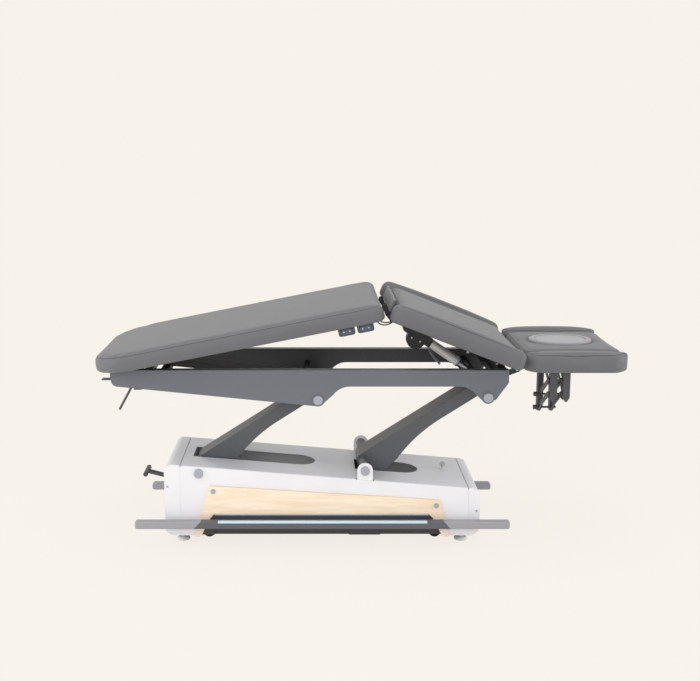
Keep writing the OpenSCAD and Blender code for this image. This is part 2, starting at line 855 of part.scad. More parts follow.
// Outline of a lift arm along its own length
module arm_outline() {
  difference() {
    union() {
      translate([arm_l, 0]) circle(r = arm_top_n);
      circle(r = arm_top_n);
      translate([0, -arm_low_n]) square([arm_l, arm_top_n + arm_low_n]);
      polygon([
        [0, 0], [arm_sag_x, 0], [arm_sag_x, -arm_low_n], [arm_deep_x, heel_n],
        [heel_x - arm_heel_r / 2, heel_n], [-arm_top_n, 0]
      ]);
      translate([heel_x, heel_n]) circle(r = arm_heel_r);
    }
    intersection() {
      translate([arm_sag_x, -arm_low_n - arm_sag_r]) circle(r = arm_sag_r, $fn = 180);
      translate([arm_deep_x, -far_out]) square([arm_sag_x - arm_deep_x, far_out]);
    }
    translate([arm_sag_x, -arm_low_n - arm_sag_r]) square([arm_l, arm_sag_r]);
  }
}

// Channel open below: two cheeks, a top strip and cross ribs, with a sleeve at each pivot
module lift_arm(sleeve_half) {
  half_w = arm_w / 2;
  difference() {
    union() {
      difference() {
        slab(-half_w, half_w) arm_outline();
        bar([arm_top_n, -(half_w - arm_wall), -far_out], [arm_l - arm_top_n, half_w - arm_wall, arm_top_n - arm_wall]);
        bar([-far_out, -(half_w - 2 * arm_wall), -far_out], [arm_top_n + over, half_w - 2 * arm_wall, -arm_top_n]);
      }
      for (s = arm_ribs * arm_l / 548)
        bar([s, -(half_w - arm_wall), -arm_low_n + arm_wall], [s + arm_wall, half_w - arm_wall, arm_top_n - arm_wall]);
      rod_y(0, 0, sleeve_r, -sleeve_half, sleeve_half);
      both_sides() rod_y(0, 0, collar_r, half_w, half_w + arm_wall);
    }
    rod_y(0, 0, axle_d / 2 + run_gap, -far_out, far_out);
  }
}

module head_arm() {
  sleeve_half = base_half_w - cover_t - lug_t - lower_sleeve_gap;
  color(arm_grey) on_arm(head_pivot_x, head_pivot_z) {
    difference() {
      lift_arm(sleeve_half);
      rod_y(arm_l, 0, axle_d / 2 + run_gap, -far_out, far_out);
    }
    rod_y(crank_x, crank_n, crank_pin_r, -(arm_w / 2 - 2 * arm_wall), arm_w / 2 - 2 * arm_wall);
  }
}

module foot_arm() {
  sleeve_half = base_half_w - cover_t - lug_t - lower_sleeve_gap;
  color(arm_grey) on_arm(foot_pivot_x, foot_pivot_z) difference() {
    lift_arm(sleeve_half);
    rod_y(arm_l, 0, axle_d / 2 + open_gap, -far_out, far_out);
  }
}

// Upper frame

plate_corner_r = 24;
opening_r = 78;
opening_in = 120;
plate_nose = 49;
plate_boss_back = 28;
plate_boss_low = 11;

// Ends of the straight edge that joins a boss to the round of the opening beside it
edge_sink = 1.5;

function joint_edge(b, rb, o, ro, side) =
  let (
    a = atan2(o[1] - b[1], o[0] - b[0]) + side * acos((rb + ro) / norm(o - b)),
    u = [cos(a), sin(a)]
  )
  [b + (rb - edge_sink) * u, o - (ro - edge_sink) * u];

module plate_outline() {
  low = frame_top - plate_depth + 2;
  z = low - 2 - opening_r;
  foot_edge = joint_edge([foot_top_x, foot_top_z], boss_r, [foot_top_x + opening_in, z], opening_r, -1);
  head_edge = joint_edge([head_top_x, head_top_z], boss_r, [head_top_x - opening_in + plate_boss_low, z], opening_r, 1);
  difference() {
    union() {
      polygon(rounded(
        [
          [frame_left, frame_top],
          [frame_left, low],
          [foot_top_x, foot_top_z - boss_r],
          foot_edge[0],
          foot_edge[1],
          [foot_top_x + opening_in, low - 2],
          [head_top_x - opening_in + plate_boss_low, low - 2],
          head_edge[1],
          head_edge[0],
          [head_top_x + plate_boss_back, head_top_z - plate_boss_low],
          [frame_right, frame_top - plate_nose],
          [frame_right, frame_top]
        ],
        [0, plate_corner_r, 0, 0, 0, 0, 0, 0, 0, 0, plate_corner_r / 3, 0]
      ));
      translate([foot_top_x, foot_top_z]) circle(r = boss_r);
      translate([head_top_x, head_top_z]) circle(r = boss_r);
    }
    translate([foot_top_x + opening_in, z]) circle(r = opening_r);
    translate([head_top_x - opening_in + plate_boss_low, z]) circle(r = opening_r);
    translate([foot_top_x + opening_in, z]) square([pivot_gap - 2 * opening_in + plate_boss_low, opening_r]);
    translate([foot_top_x, foot_top_z]) circle(r = axle_d / 2 + run_gap);
    translate([head_top_x, head_top_z]) circle(r = axle_d / 2 + run_gap);
  }
}

module side_plates() {
  color(frame_grey) stand() both_sides() {
    slab(frame_in_y, frame_half_w) plate_outline();
    bar([frame_left, frame_half_w - flange_w, frame_top - plate_t], [frame_right, frame_in_y, frame_top]);
  }
}

cross_tube_w = 30;
cross_tube_h = 22;
foot_cross_in = 100.4;
foot_cross_x = frame_left + foot_cross_in;
foot_cross_z = 640;
rail_behind = 88;
rail_ahead = 43;
brace_after = 91;
brace_cross_x = roller_x + rail_ahead + brace_after;
brace_lift = 2;
mid_tube_dx = -44;
mid_tube_dz = 50;
mid_tube_r = 12;
act_tube_dx = -36;
act_tube_dz = 55;
act_tube_r = 15;
act_x = head_top_x + act_tube_dx;
act_z = head_top_z + act_tube_dz;
mid_x = foot_top_x + mid_tube_dx;
mid_z = foot_top_z + mid_tube_dz;
head_cross_x0 = frame_right - 30;
lug_in_y = 196;
lug_out_y = 204;
spacer_r = 18;
act_lug_half = 16;
act_lug_t = 6;
act_pin_r = 5;

module cross_members() {
  in_y = frame_in_y;
  color(dark_grey) stand() {
    bar([foot_cross_x - cross_tube_w / 2, -in_y, foot_cross_z - cross_tube_h / 2],
      [foot_cross_x + cross_tube_w / 2, in_y, foot_cross_z + cross_tube_h / 2]);
    bar([brace_cross_x - cross_tube_w / 2, -in_y, foot_cross_z + cross_tube_h],
      [brace_cross_x + cross_tube_w / 2, in_y, foot_cross_z + 2 * cross_tube_h]);
    rod_y(mid_x, mid_z, mid_tube_r, -in_y, in_y);
    // Axle spacers between the arms and the side plates
    both_sides() for (p = [[foot_top_x, foot_top_z], [head_top_x, head_top_z]]) difference() {
      rod_y(p[0], p[1], spacer_r, arm_w / 2 + lower_sleeve_gap, in_y);
      rod_y(p[0], p[1], axle_d / 2 + run_gap, 0, far_out);
    }
    // Ears of the release lever
    for (y = [lever_y - lever_eye_half - lever_ear_t - seat_gap, lever_y + lever_eye_half + seat_gap])
      slab(y, y + lever_ear_t) difference() {
        union() {
          translate([lever_x, lever_z]) circle(r = lever_eye_r);
          translate([lever_x, lever_z - lever_eye_r])
            square([foot_cross_x - cross_tube_w / 2 - lever_x, 2 * lever_eye_r]);
        }
        translate([lever_x, lever_z]) circle(r = lever_pin_r + run_gap);
      }
    // Head-end cross member with the hinge lugs
    bar([head_cross_x0, -in_y, frame_top - plate_t - cross_tube_h], [frame_right, in_y, frame_top - plate_t - seat_gap]);
    both_sides() slab(lug_in_y, lug_out_y) difference() {
      union() {
        translate([hinge_x, hinge_z]) circle(r = hinge_ring_r);
        polygon([
          [frame_right, frame_top - plate_t - cross_tube_h], [frame_right, frame_top - plate_t - seat_gap],
          [hinge_x, hinge_z + hinge_ring_r * 0.7], [hinge_x + hinge_ring_r / 3, hinge_z - hinge_ring_r * 0.9]
        ]);
      }
      translate([hinge_x, hinge_z]) circle(r = hinge_d / 2 + run_gap);
    }
    // Clevis of the back actuator
    both_sides() slab(act_lug_half, act_lug_half + act_lug_t) {
      translate([act_x, act_z]) circle(r = act_tube_r + act_lug_t / 2);
      translate([act_x, act_z - act_tube_r - act_lug_t]) square([act_tube_r + act_lug_t, act_tube_r]);
    }
    both_sides() rod_y(act_x, act_z, act_tube_r, act_lug_half + act_lug_t, in_y);
    bar([act_x + act_eye_r - act_lug_t / 2, -act_lug_half, act_z - act_tube_r - act_lug_t],
      [act_x + act_tube_r + act_lug_t, act_lug_half, act_z - act_eye_r + act_lug_t / 3]);
    rod_y(act_x, act_z, act_pin_r, -act_lug_half, act_lug_half);
  }
}

module upper_axles() {
  color(steel_grey) stand() {
    for (p = [[foot_top_x, foot_top_z], [head_top_x, head_top_z]])
      rod_y(p[0], p[1], axle_d / 2, -frame_half_w, frame_half_w);
    rod_y(hinge_x, hinge_z, hinge_d / 2, -lug_out_y, lug_out_y);
  }
}

module upper_axle_caps() {
  color(cap_grey) stand() both_sides() for (p = [[foot_top_x, foot_top_z], [head_top_x, head_top_z]])
    axle_cap(p[0], p[1], frame_half_w);
}

brace_y = 40;
brace_t = 8;
brace_half_h = 12;

// Two flat braces that slope from the foot end to the middle tube, with end blocks
module frame_braces() {
  left = [brace_cross_x, foot_cross_z + 2 * cross_tube_h + brace_half_h + brace_lift];
  tube = [mid_x, mid_z];
  right = tube - unit(tube - left) * (mid_tube_r + brace_half_h + seat_gap);
  color(dark_grey) stand() both_sides() strap(left, right, brace_half_h, brace_y, brace_y + brace_t);
}

channel_t = 3;
channel_h = 31;
roller_r = 12;
channel_low_gap = 0.3;
channel_in_y = 188;

// C channels that guide the rollers of the leg section, open inwards
module slide_rails() {
  z0 = rail_z - roller_r - channel_low_gap - channel_t;
  z1 = min(z0 + channel_h + channel_t, frame_top - plate_t);
  x0 = roller_x - rail_behind;
  x1 = roller_x + rail_ahead;
  color(dark_grey) stand() both_sides() difference() {
    bar([x0, channel_in_y, z0], [x1, frame_in_y, z1]);
    bar([-far_out, channel_in_y - over, z0 + channel_t], [x1 - channel_t, frame_in_y - channel_t, z0 + channel_h]);
  }
}

lever_x = foot_cross_x - cross_tube_w / 2 - 11;
lever_z = foot_cross_z;
lever_y = -170;
lever_rod_r = 4.5;
lever_tip_x = -777;
lever_tip_z = 540;
lever_eye_half = 8;
lever_eye_r = 9;
lever_ear_t = 3;
lever_pin_r = 3;

module release_lever() {
  color(dark_grey) stand() {
    rod_y(lever_x, lever_z, lever_eye_r, lever_y - lever_eye_half, lever_y + lever_eye_half);
    rod_y(lever_x, lever_z, lever_pin_r, lever_y - lever_eye_half - lever_ear_t, lever_y + lever_eye_half + lever_ear_t);
    rod_xz([lever_x, lever_z], [lever_tip_x, lever_tip_z], lever_y, lever_rod_r);
  }
}

// Soft forms

// How far a plan corner may tighten as the ring draws in
corner_keep_share = 0.35;
corner_signs = [[1, 1], [-1, 1], [-1, -1], [1, -1]];

// Ring of a rounded rectangle, drawn in by inset and scaled by s; r is one radius or one for each corner
function pad_ring(l, w, r, inset, z, s = 1, n = 6) =
  let (
    a = l / 2 - inset,
    b = w / 2 - inset,
    radii = is_list(r) ? r : [r, r, r, r]
  )
  [for (c = [0:3])
    let (q = min(max(radii[c] - inset, corner_keep_share * radii[c]), a, is_list(r) ? 2 * b : b))
    for (i = [0:n])
      let (t = 90 * (c + i / n))
      [s * (corner_signs[c][0] * (a - q) + q * cos(t)), s * (corner_signs[c][1] * (b - q) + q * sin(t)), z]];

// Closed solid through a stack of rings
module skin(rings) {
  m = len(rings);
  k = len(rings[0]);
  polyhedron(
    points = [for (ring = rings) each ring],
    faces = concat(
      [[for (i = [0:k - 1]) i]],
      [for (j = [0:m - 2]) for (i = [0:k - 1]) each [
        [j * k + i, (j + 1) * k + i, (j + 1) * k + (i + 1) % k],
        [j * k + i, (j + 1) * k + (i + 1) % k, j * k + (i + 1) % k]
      ]],
      [[for (i = [k - 1:-1:0]) (m - 1) * k + i]]
    )
  );
}

// Closed solid through a loop of rings, so that it keeps the hole that they go round
module band(rings) {
  m = len(rings);
  k = len(rings[0]);
  polyhedron(
    points = [for (ring = rings) each ring],
    faces = [for (j = [0:m - 1]) for (i = [0:k - 1]) each [
      [j * k + i, ((j + 1) % m) * k + i, ((j + 1) % m) * k + (i + 1) % k],
      [j * k + i, ((j + 1) % m) * k + (i + 1) % k, j * k + (i + 1) % k]
    ]]
  );
}

side_bulge_share = 0.12;
crown_scale_share = [0.78, 0.5, 0.2];
board_in = 15;
board_r = 8;
cover_wrap = board_t;

// Cushion with drawn-in sides, a rounded upper edge and a crown, whose cover reaches down past its board
module cushion(l, w, t, r, edge, crown, n = 6) {
  rim = t - crown;
  draw = t * side_bulge_share;
  skin(concat(
    [pad_ring(l, w, r, draw, -cover_wrap, 1, n), pad_ring(l, w, r, draw / 3, rim * 0.2, 1, n)],
    [for (a = [0, 22.5, 45, 67.5, 90]) pad_ring(l, w, r, edge * (1 - cos(a)), rim - edge * (1 - sin(a)), 1, n)],
    [for (s = crown_scale_share) pad_ring(l, w, r, edge, rim + crown * (1 - s * s), s, n)]
  ));
}

leg_plan_r = 46;
leg_plan_radii = [leg_plan_r, leg_foot_r, leg_foot_r, leg_plan_r];
leg_edge = 30;
crown_h = 5;

// Board of a cushion of this length, width and plan radii; grow gives the space that it needs
module board(l, w, r, grow = 0) {
  a = l / 2 - board_in + grow;
  b = w / 2 - board_in + grow;
  radii = is_list(r) ? r : [r, r, r, r];
  translate([0, 0, -grow]) linear_extrude(board_t + 2 * grow)
    polygon(rounded([[a, b], [-a, b], [-a, -b], [a, -b]], [for (q = radii) max(q - board_in, board_r) + grow]));
}

// Room for the peak knuckles in the wrapped edge of a cushion
module knuckle_room(x0, x1, z0, z1) {
  both_sides() bar([x0, knuckle_y - open_gap, z0], [x1, knuckle_y + 2 * knuckle_t + knuckle_gap + open_gap, z1]);
}

module leg_cushion() {
  color(upholstery) on_leg() difference() {
    translate([-leg_pad_end - leg_l / 2, 0, leg_pad_z + seat_gap])
      cushion(leg_l, couch_w, pad_t, leg_plan_radii, leg_edge, crown_h, 8);
    translate([-leg_pad_end - leg_l / 2, 0, leg_board_z]) board(leg_l, couch_w, leg_plan_radii, seat_gap);
    knuckle_room(-leg_pad_end - 2 * board_in, 0, leg_board_z - over, leg_pad_z);
  }
}

module leg_board() {
  color(black) on_leg() translate([-leg_pad_end - leg_l / 2, 0, leg_board_z]) board(leg_l, couch_w, leg_plan_radii);
}

sub_w = 20;
sub_h = 25;
sub_y = 140;
sub_foot_out = 47;
sub_foot_x = -roller_reach - sub_foot_out;
sub_peak_x = -34;
knuckle_y = 100;
knuckle_t = 6;
knuckle_gap = 1;
knuckle_r = 8.5;
peak_pin_r = 4;
hanger_in_y = 176;
hanger_plate_t = 6;
roller_pin_r = 5;
hanger_half = 14;

// Two rails, two cross members, peak knuckles and roller hangers
module leg_subframe() {
  z1 = leg_board_z;
  z0 = leg_board_z - sub_h;
  color(dark_grey) on_leg() {
    both_sides() {
      bar([sub_foot_x, sub_y, z0], [sub_peak_x, sub_y + sub_w, z1]);
      slab(knuckle_y, knuckle_y + knuckle_t) difference() {
        union() {
          circle(r = knuckle_r);
          polygon([[sub_peak_x - sub_w, z0], [sub_peak_x - sub_w, z1 - seat_gap],
            [sub_peak_x / 1.4, z1 - seat_gap], [-knuckle_r / 1.6, knuckle_r / 1.6], [knuckle_r / 1.5, -knuckle_r / 1.5],
            [sub_peak_x / 2.4, z1 - sub_h / 1.7], [sub_peak_x, z0]]);
        }
        circle(r = peak_pin_r + run_gap);
      }
      slab(hanger_in_y, hanger_in_y + hanger_plate_t) difference() {
        union() {
          translate([-roller_reach, -roller_drop]) circle(r = hanger_half - over);
          polygon([[-roller_reach - hanger_half + over, -roller_drop], [-roller_reach + hanger_half - over, -roller_drop],
            [-roller_reach + 2 * hanger_half, z1], [-roller_reach - 1.5 * hanger_half, z1]]);
        }
        translate([-roller_reach, -roller_drop]) circle(r = roller_pin_r + run_gap);
      }
      bar([-roller_reach - 1.5 * hanger_half, sub_y + sub_w, z1 - sub_h / 4],
        [-roller_reach + 2 * hanger_half, hanger_in_y, z1]);
    }
    for (x = [sub_foot_x, sub_peak_x - sub_w]) bar([x, -sub_y, z0], [x + sub_w, sub_y, z1]);
  }
}

roller_half_w = 10;
roller_mid_y = 203;
roller_groove = 1.5;

module leg_rollers() {
  color(steel_grey) stand() translate([roller_x, 0, rail_z]) {
    rod_y(0, 0, roller_pin_r, -(roller_mid_y + roller_half_w), roller_mid_y + roller_half_w);
    both_sides() translate([0, roller_mid_y, 0]) rotate([-90, 0, 0]) rotate_extrude() polygon([
      [0, -roller_half_w], [roller_r - roller_groove, -roller_half_w], [roller_r, -roller_half_w + roller_groove],
      [roller_r, roller_half_w - roller_groove], [roller_r - roller_groove, roller_half_w], [0, roller_half_w]
    ]);
  }
}

pod_x = [-190, -120];
pod_l = 62;
pod_h = 30;
pod_t = 24;
pod_in = 28;
pod_y = pod_in - couch_w / 2;
pod_r = 9;
rocker_l = 44;
rocker_h = 17;
rocker_t = 4;
rocker_r = 7;
rocker_gap = 0.6;
rocker_axle_r = 1.5;
rocker_axle_l = 23;

// Switch housings under the near edge of the leg section
module switch_pods() {
  color(dark_grey) on_leg() for (x = pod_x) translate([x, 0, leg_board_z - pod_h]) difference() {
    slab(pod_y, pod_y + pod_t) polygon(rounded(
      [[0, 0], [0, pod_h], [pod_l, pod_h], [pod_l, 0]], [pod_r, pod_r / 4, pod_r / 4, pod_r]
    ));
    translate([pod_l / 2, 0, pod_h / 2]) slab(pod_y - over, pod_y + 2 * rocker_t)
      square([rocker_l + 2 * rocker_gap, rocker_h + 2 * rocker_gap], center = true);
    translate([pod_l / 2, pod_y + rocker_t, pod_h / 2 - rocker_axle_l / 2])
      cylinder(r = rocker_axle_r + run_gap, h = rocker_axle_l);
  }
}

// Rocker that tips about an upright axis
module rocker(x) {
  color(frame_grey) on_leg() translate([x + pod_l / 2, pod_y + rocker_t, leg_board_z - pod_h / 2]) {
    slab(-rocker_t - rocker_t / 4, -rocker_t / 4) polygon(rounded(
      [[-rocker_l / 2, -rocker_h / 2], [-rocker_l / 2, rocker_h / 2], [rocker_l / 2, rocker_h / 2], [rocker_l / 2, -rocker_h / 2]],
      [rocker_r, rocker_r, rocker_r, rocker_r]
    ));
    translate([0, 0, -rocker_axle_l / 2 + seat_gap]) cylinder(r = rocker_axle_r, h = rocker_axle_l - 2 * seat_gap);
  }
}

module rocker_foot() {
  rocker(pod_x[0]);
}

module rocker_head() {
  rocker(pod_x[1]);
}

// Two thin cables that hang over the peak gap, drawn in the leg section's frame
cable_r = 2.5;
cable_routes = [
  [[-44, -250, -14.4], [-44.5, -250, -20], [-40, -251, -31], [-29, -252, -41], [-14, -253, -45],
    [1, -254, -43.5], [11, -255, -39.5], [16.5, -256, -33.9], [19.2, -256, -29.4]],
  [[-36, -232, -14.4], [-36.4, -232, -19], [-32, -233, -28], [-22, -234, -36], [-8, -235, -40],
    [5, -236, -40.5], [13, -237, -38.5], [18, -238, -34.8], [20.8, -238, -30.5]]
];

// Ring of a tube at point i of a route
function tube_ring(pts, i, r, sides) =
  let (
    n = len(pts),
    t = unit(pts[min(i + 1, n - 1)] - pts[max(i - 1, 0)]),
    side = unit(cross(t, [0, 1, 0.001])),
    up = cross(side, t)
  )
  [for (k = [0:sides - 1]) pts[i] + r * (cos(360 * k / sides) * side + sin(360 * k / sides) * up)];

module tube(pts, r, sides = 8) {
  skin([for (i = [0:len(pts) - 1]) tube_ring(pts, i, r, sides)]);
}

module peak_cables() {
  color(black) on_leg() for (route = cable_routes) tube(route, cable_r);
}

// Back section

back_x0 = -back_pad_end - back_l;
bolster_gap = 3;
bolster_edge = 30;
bolster_r = 34;
back_edge = 22;
back_r = 26;
flap_t = 12;
flap_lift = 6;
flap_in = 5.7;
flap_low = -0.8;
back_board_short = 3;
flap_r = 2;
back_pad_short = 2;
bolster_up = 3;

module back_board_space(grow = 0) {
  l = back_l - back_board_short;
  translate([-back_pad_end - l / 2, 0, back_board_z]) board(l, couch_w, bolster_r, grow);
}

// Centre pad, with a padded flap that closes the gap at the peak
module back_pad() {
  w = couch_w - 2 * bolster_w - 2 * bolster_gap;
  l = back_l - 2 * flap_t - back_pad_short;
  x0 = back_x0 + flap_in;
  z0 = back_pad_z + flap_low;
  z1 = back_pad_z + pad_t - flap_lift;
  color(upholstery) on_back() {
    difference() {
      translate([-back_pad_end - back_pad_short - l / 2, 0, back_pad_z + seat_gap]) cushion(l, w, pad_t, back_r, back_edge, crown_h, 7);
      back_board_space(seat_gap);
    }
    slab(bolster_w - w / 2, w / 2 - bolster_w) polygon(rounded(
      [[x0, z0], [x0, z1], [x0 + flap_t, z1], [x0 + flap_t, z0]],
      [flap_r, 2 * flap_r, 2 * flap_r, flap_r]
    ));
  }
}

module back_bolsters() {
  color(upholstery) on_back() both_sides() difference() {
    translate([-back_pad_end - back_l / 2, couch_w / 2 - bolster_w / 2, back_pad_z + seat_gap])
      cushion(back_l, bolster_w, pad_t + bolster_up, bolster_r, bolster_edge, crown_h / 2, 5);
    back_board_space(seat_gap);
  }
}

module back_board() {
  color(black) on_back() back_board_space();
}

back_sub_x1 = -70;
back_hinge_y = sub_y + sub_w / 2;
back_hinge_t = 7;
motor_lug_x = -418;
motor_lug_z = -31;
motor_lug_half = 22;
motor_lug_t = 5;

module back_subframe() {
  z1 = back_board_z;
  z0 = back_board_z - sub_h;
  x0 = -peak_reach - sub_peak_x;
  color(dark_grey) on_back() {
    both_sides() {
      bar([x0, sub_y, z0], [back_sub_x1, sub_y + sub_w, z1]);
      slab(back_hinge_y, back_hinge_y + back_hinge_t) difference() {
        union() {
          circle(r = hinge_ring_r);
          polygon([[back_sub_x1, z0], [back_sub_x1, z1], [back_sub_x1 / 1.6, z1 - seat_gap],
            [-hinge_ring_r / 2, hinge_ring_r * 0.85], [-hinge_ring_r / 2, -hinge_ring_r * 0.85],
            [-2 * hinge_ring_r, -hinge_ring_r / 6], [back_sub_x1 + hinge_ring_r / 2, -hinge_ring_r / 6]]);
        }
        circle(r = hinge_d / 2 + run_gap);
      }
      translate([-peak_reach, 0, peak_local_z])
        slab(knuckle_y + knuckle_t + knuckle_gap, knuckle_y + 2 * knuckle_t + knuckle_gap) difference() {
          union() {
            circle(r = knuckle_r);
            polygon([[-sub_peak_x + sub_w, -peak_up - sub_h], [-sub_peak_x + sub_w, -peak_up - seat_gap],
              [-sub_peak_x / 1.4, -peak_up - seat_gap], [knuckle_r / 1.6, knuckle_r / 1.6],
              [-knuckle_r / 1.5, -knuckle_r / 1.5], [-sub_peak_x / 2.4, -peak_up - sub_h / 1.7],
              [-sub_peak_x, -peak_up - sub_h]]);
          }
        }
      translate([-peak_reach, 0, peak_local_z])
        rod_y(0, 0, peak_pin_r, knuckle_y, knuckle_y + 2 * knuckle_t + knuckle_gap);
      slab(motor_lug_half, motor_lug_half + motor_lug_t) difference() {
        polygon([[motor_lug_x - motor_lug_half, z1], [motor_lug_x + motor_lug_half, z1],
          [motor_lug_x + motor_lug_half / 2, motor_lug_z - act_pin_r * 2], [motor_lug_x - motor_lug_half / 2, motor_lug_z - act_pin_r * 2]]);
        translate([motor_lug_x, motor_lug_z]) circle(r = act_pin_r + run_gap);
      }
    }
    for (x = [x0, back_sub_x1 - sub_w]) bar([x, -sub_y, z0], [x + sub_w, sub_y, z1]);
  }
}

// Back actuator between the back section and the upper frame
motor_px = hinge_x + motor_lug_x * cos(back_fall) + motor_lug_z * sin(back_fall);
motor_pz = hinge_z - motor_lug_x * sin(back_fall) + motor_lug_z * cos(back_fall);
act_a = [motor_px, motor_pz];
act_b = [act_x, act_z];
act_dir = unit(act_b - act_a);
act_up = [-act_dir[1], act_dir[0]];
act_len = norm(act_b - act_a);
gear_r = 38;
gear_along = 54;
gear_down = 19;
gear_half_w = 19;
neck_half = 18;
neck_l = 114;
act_tube_l = 250;
act_tube_rr = 18;
act_collar_r = 20;
act_collar_l = 14;
act_rod_r = 9;
act_rod_l = 152;
act_bore_r = act_rod_r + 2.6;
act_eye_r = 13;
act_eye_half = 14;

module back_motor() {
  gear = act_a + act_dir * gear_along - act_up * gear_down;
  color(black) stand() difference() {
    union() {
      rod_y(gear[0], gear[1], gear_r, -gear_half_w, gear_half_w);
      rod_y(act_a[0], act_a[1], neck_half, -gear_half_w, gear_half_w);
      slab(-gear_half_w, gear_half_w) translate(act_a) rotate(atan2(act_dir[1], act_dir[0]))
        translate([0, -neck_half]) square([neck_l, 2 * neck_half]);
      rod_xz(act_a + act_dir * (act_tube_l - act_collar_l), act_a + act_dir * act_tube_l, 0, act_collar_r);
    }
    rod_y(act_a[0], act_a[1], act_pin_r + run_gap, -far_out, far_out);
    rod_xz(act_a + act_dir * (neck_l - neck_half), act_b, 0, act_bore_r);
  }
  color(steel_grey) stand() {
    difference() {
      rod_xz(act_a + act_dir * neck_l, act_a + act_dir * (act_tube_l - act_collar_l), 0, act_tube_rr);
      rod_xz(act_a + act_dir * (neck_l - over), act_b, 0, act_bore_r);
    }
    rod_y(act_a[0], act_a[1], act_pin_r, -(motor_lug_half + motor_lug_t), motor_lug_half + motor_lug_t);
  }
}

module back_rod() {
  color(steel_grey) stand() difference() {
    union() {
      rod_xz(act_b - act_dir * act_rod_l, act_b, 0, act_rod_r);
      rod_y(act_b[0], act_b[1], act_eye_r, -act_eye_half, act_eye_half);
    }
    rod_y(act_b[0], act_b[1], act_pin_r + run_gap, -far_out, far_out);
  }
}

// Corrugated conduit from the actuator down into the frame: ribs and a bore along its route
conduit_r = 5;
conduit_rib = 1.2;
conduit_bore_r = 3.4;
conduit_ribs = 18;
conduit_sides = 10;
conduit_route = [
  [86, -8, -84.5], [90, -11, -91], [95, -15, -100], [102, -19, -111], [111, -23, -123], [120, -26, -132]
];

// Point at step f of a route, counted in whole and part steps
function route_point(route, f) =
  let (i = min(floor(f), len(route) - 2))
  route[i] + (f - i) * (route[i + 1] - route[i]);

module cable_conduit() {
  n = 2 * conduit_ribs;
  line = [for (i = [0:n]) route_point(conduit_route, i * (len(conduit_route) - 1) / n)];
  color(black) stand() translate([act_a[0], 0, act_a[1]]) band(concat(
    [for (i = [0:n]) tube_ring(line, i, conduit_r + (i % 2) * conduit_rib, conduit_sides)],
    [for (i = [n, 0]) tube_ring(line, i, conduit_bore_r, conduit_sides)]
  ));
}

// Head section

head_edge = 16;
head_r = 44;
head_crown = 3;
face_n = 48;
face_edge = 5;
plug_gap = 0.6;

function oval(l, w, z, s = 1, n = face_n) = [for (i = [0:n - 1]) [s * l / 2 * cos(360 * i / n), s * w / 2 * sin(360 * i / n), z]];

// Point of a rounded rectangle in direction a from the face hole's middle
function pad_point(a, x0, x1, half_w, r) =
  let (
    c = cos(a),
    s = sin(a),
    tx = c > 0 ? x1 / c : (c < 0 ? x0 / c : far_out),
    ty = s == 0 ? far_out : half_w / abs(s),
    t = min(tx, ty),
    p = [t * c, t * s],
    ex = (c > 0 ? x1 : x0) - (c > 0 ? r : -r),
    ey = (s > 0 ? 1 : -1) * (half_w - r),
    inside_corner = (c > 0 ? p[0] > ex : p[0] < ex) && abs(p[1]) > half_w - r,
    q = c * ex + s * ey,
    k = q + sqrt(max(0, q * q - (ex * ex + ey * ey - r * r)))
  )
  inside_corner ? [k * c, k * s] : p;

function head_ring(inset, z, n = face_n) =
  [for (i = [0:n - 1])
    let (p = pad_point(360 * (i + 0.5) / n, head_x0 - face_x + inset, head_end_x - face_x - inset, head_w / 2 - inset, max(head_r - inset, 20)))
    [p[0], p[1], z]];

function hole_ring(grow, z, n = face_n) =
  [for (i = [0:n - 1]) [(face_l / 2 + grow) * cos(360 * (i + 0.5) / n), (face_w / 2 + grow) * sin(360 * (i + 0.5) / n), z]];

function mix_ring(a, b, f, z) = [for (i = [0:len(a) - 1]) [a[i][0] * (1 - f) + b[i][0] * f, a[i][1] * (1 - f) + b[i][1] * f, z]];

// Head pad with its face hole, as one closed band of rings
module head_pad() {
  t = pad_t;
  rim = t - head_crown;
  draw = t * side_bulge_share;
  outer = head_ring(head_edge, rim);
  inner = hole_ring(face_edge, rim);
  rings = concat(
    [head_ring(draw, -cover_wrap), head_ring(draw / 3, rim * 0.25)],
    [for (a = [0, 30, 60, 90]) head_ring(head_edge * (1 - cos(a)), rim - head_edge * (1 - sin(a)))],
    [mix_ring(outer, inner, 0.35, t), mix_ring(outer, inner, 0.75, t)],
    [hole_ring(face_edge, rim + head_crown / 2), hole_ring(0, rim - face_edge), hole_ring(0, -cover_wrap)]
  );
  color(upholstery) stand() difference() {
    translate([face_x, 0, head_pad_z + seat_gap]) band(rings);
    translate([head_x0 + head_l / 2, 0, head_z0]) board(head_l, head_w, head_r, seat_gap);
  }
}

module head_board() {
  color(black) stand() difference() {
    translate([head_x0 + head_l / 2, 0, head_z0]) board(head_l, head_w, head_r);
    translate([face_x, 0, head_z0 - over]) linear_extrude(board_t + 2 * over)
      polygon([for (p = oval(face_l + 2 * plug_gap, face_w + 2 * plug_gap, 0)) [p[0], p[1]]]);
  }
}

plug_rim_up = 7;
plug_dish = 4;
plug_deep = 34;

// Oval plug with a raised rim and a shallow dish
module face_plug() {
  l = face_l - 2 * plug_gap;
  w = face_w - 2 * plug_gap;
  top = pad_t + plug_rim_up;
  color(plug_grey) stand() translate([face_x, 0, head_pad_z]) skin([
    oval(l, w, pad_t - plug_deep, 0.94), oval(l, w, pad_t - plug_deep + 4), oval(l, w, pad_t - 1),
    oval(l, w, top - 3, 0.995), oval(l, w, top, 0.96), oval(l, w, top, 0.9), oval(l, w, top - plug_dish, 0.84),
    oval(l, w, top - plug_dish, 0.4)
  ]);
}

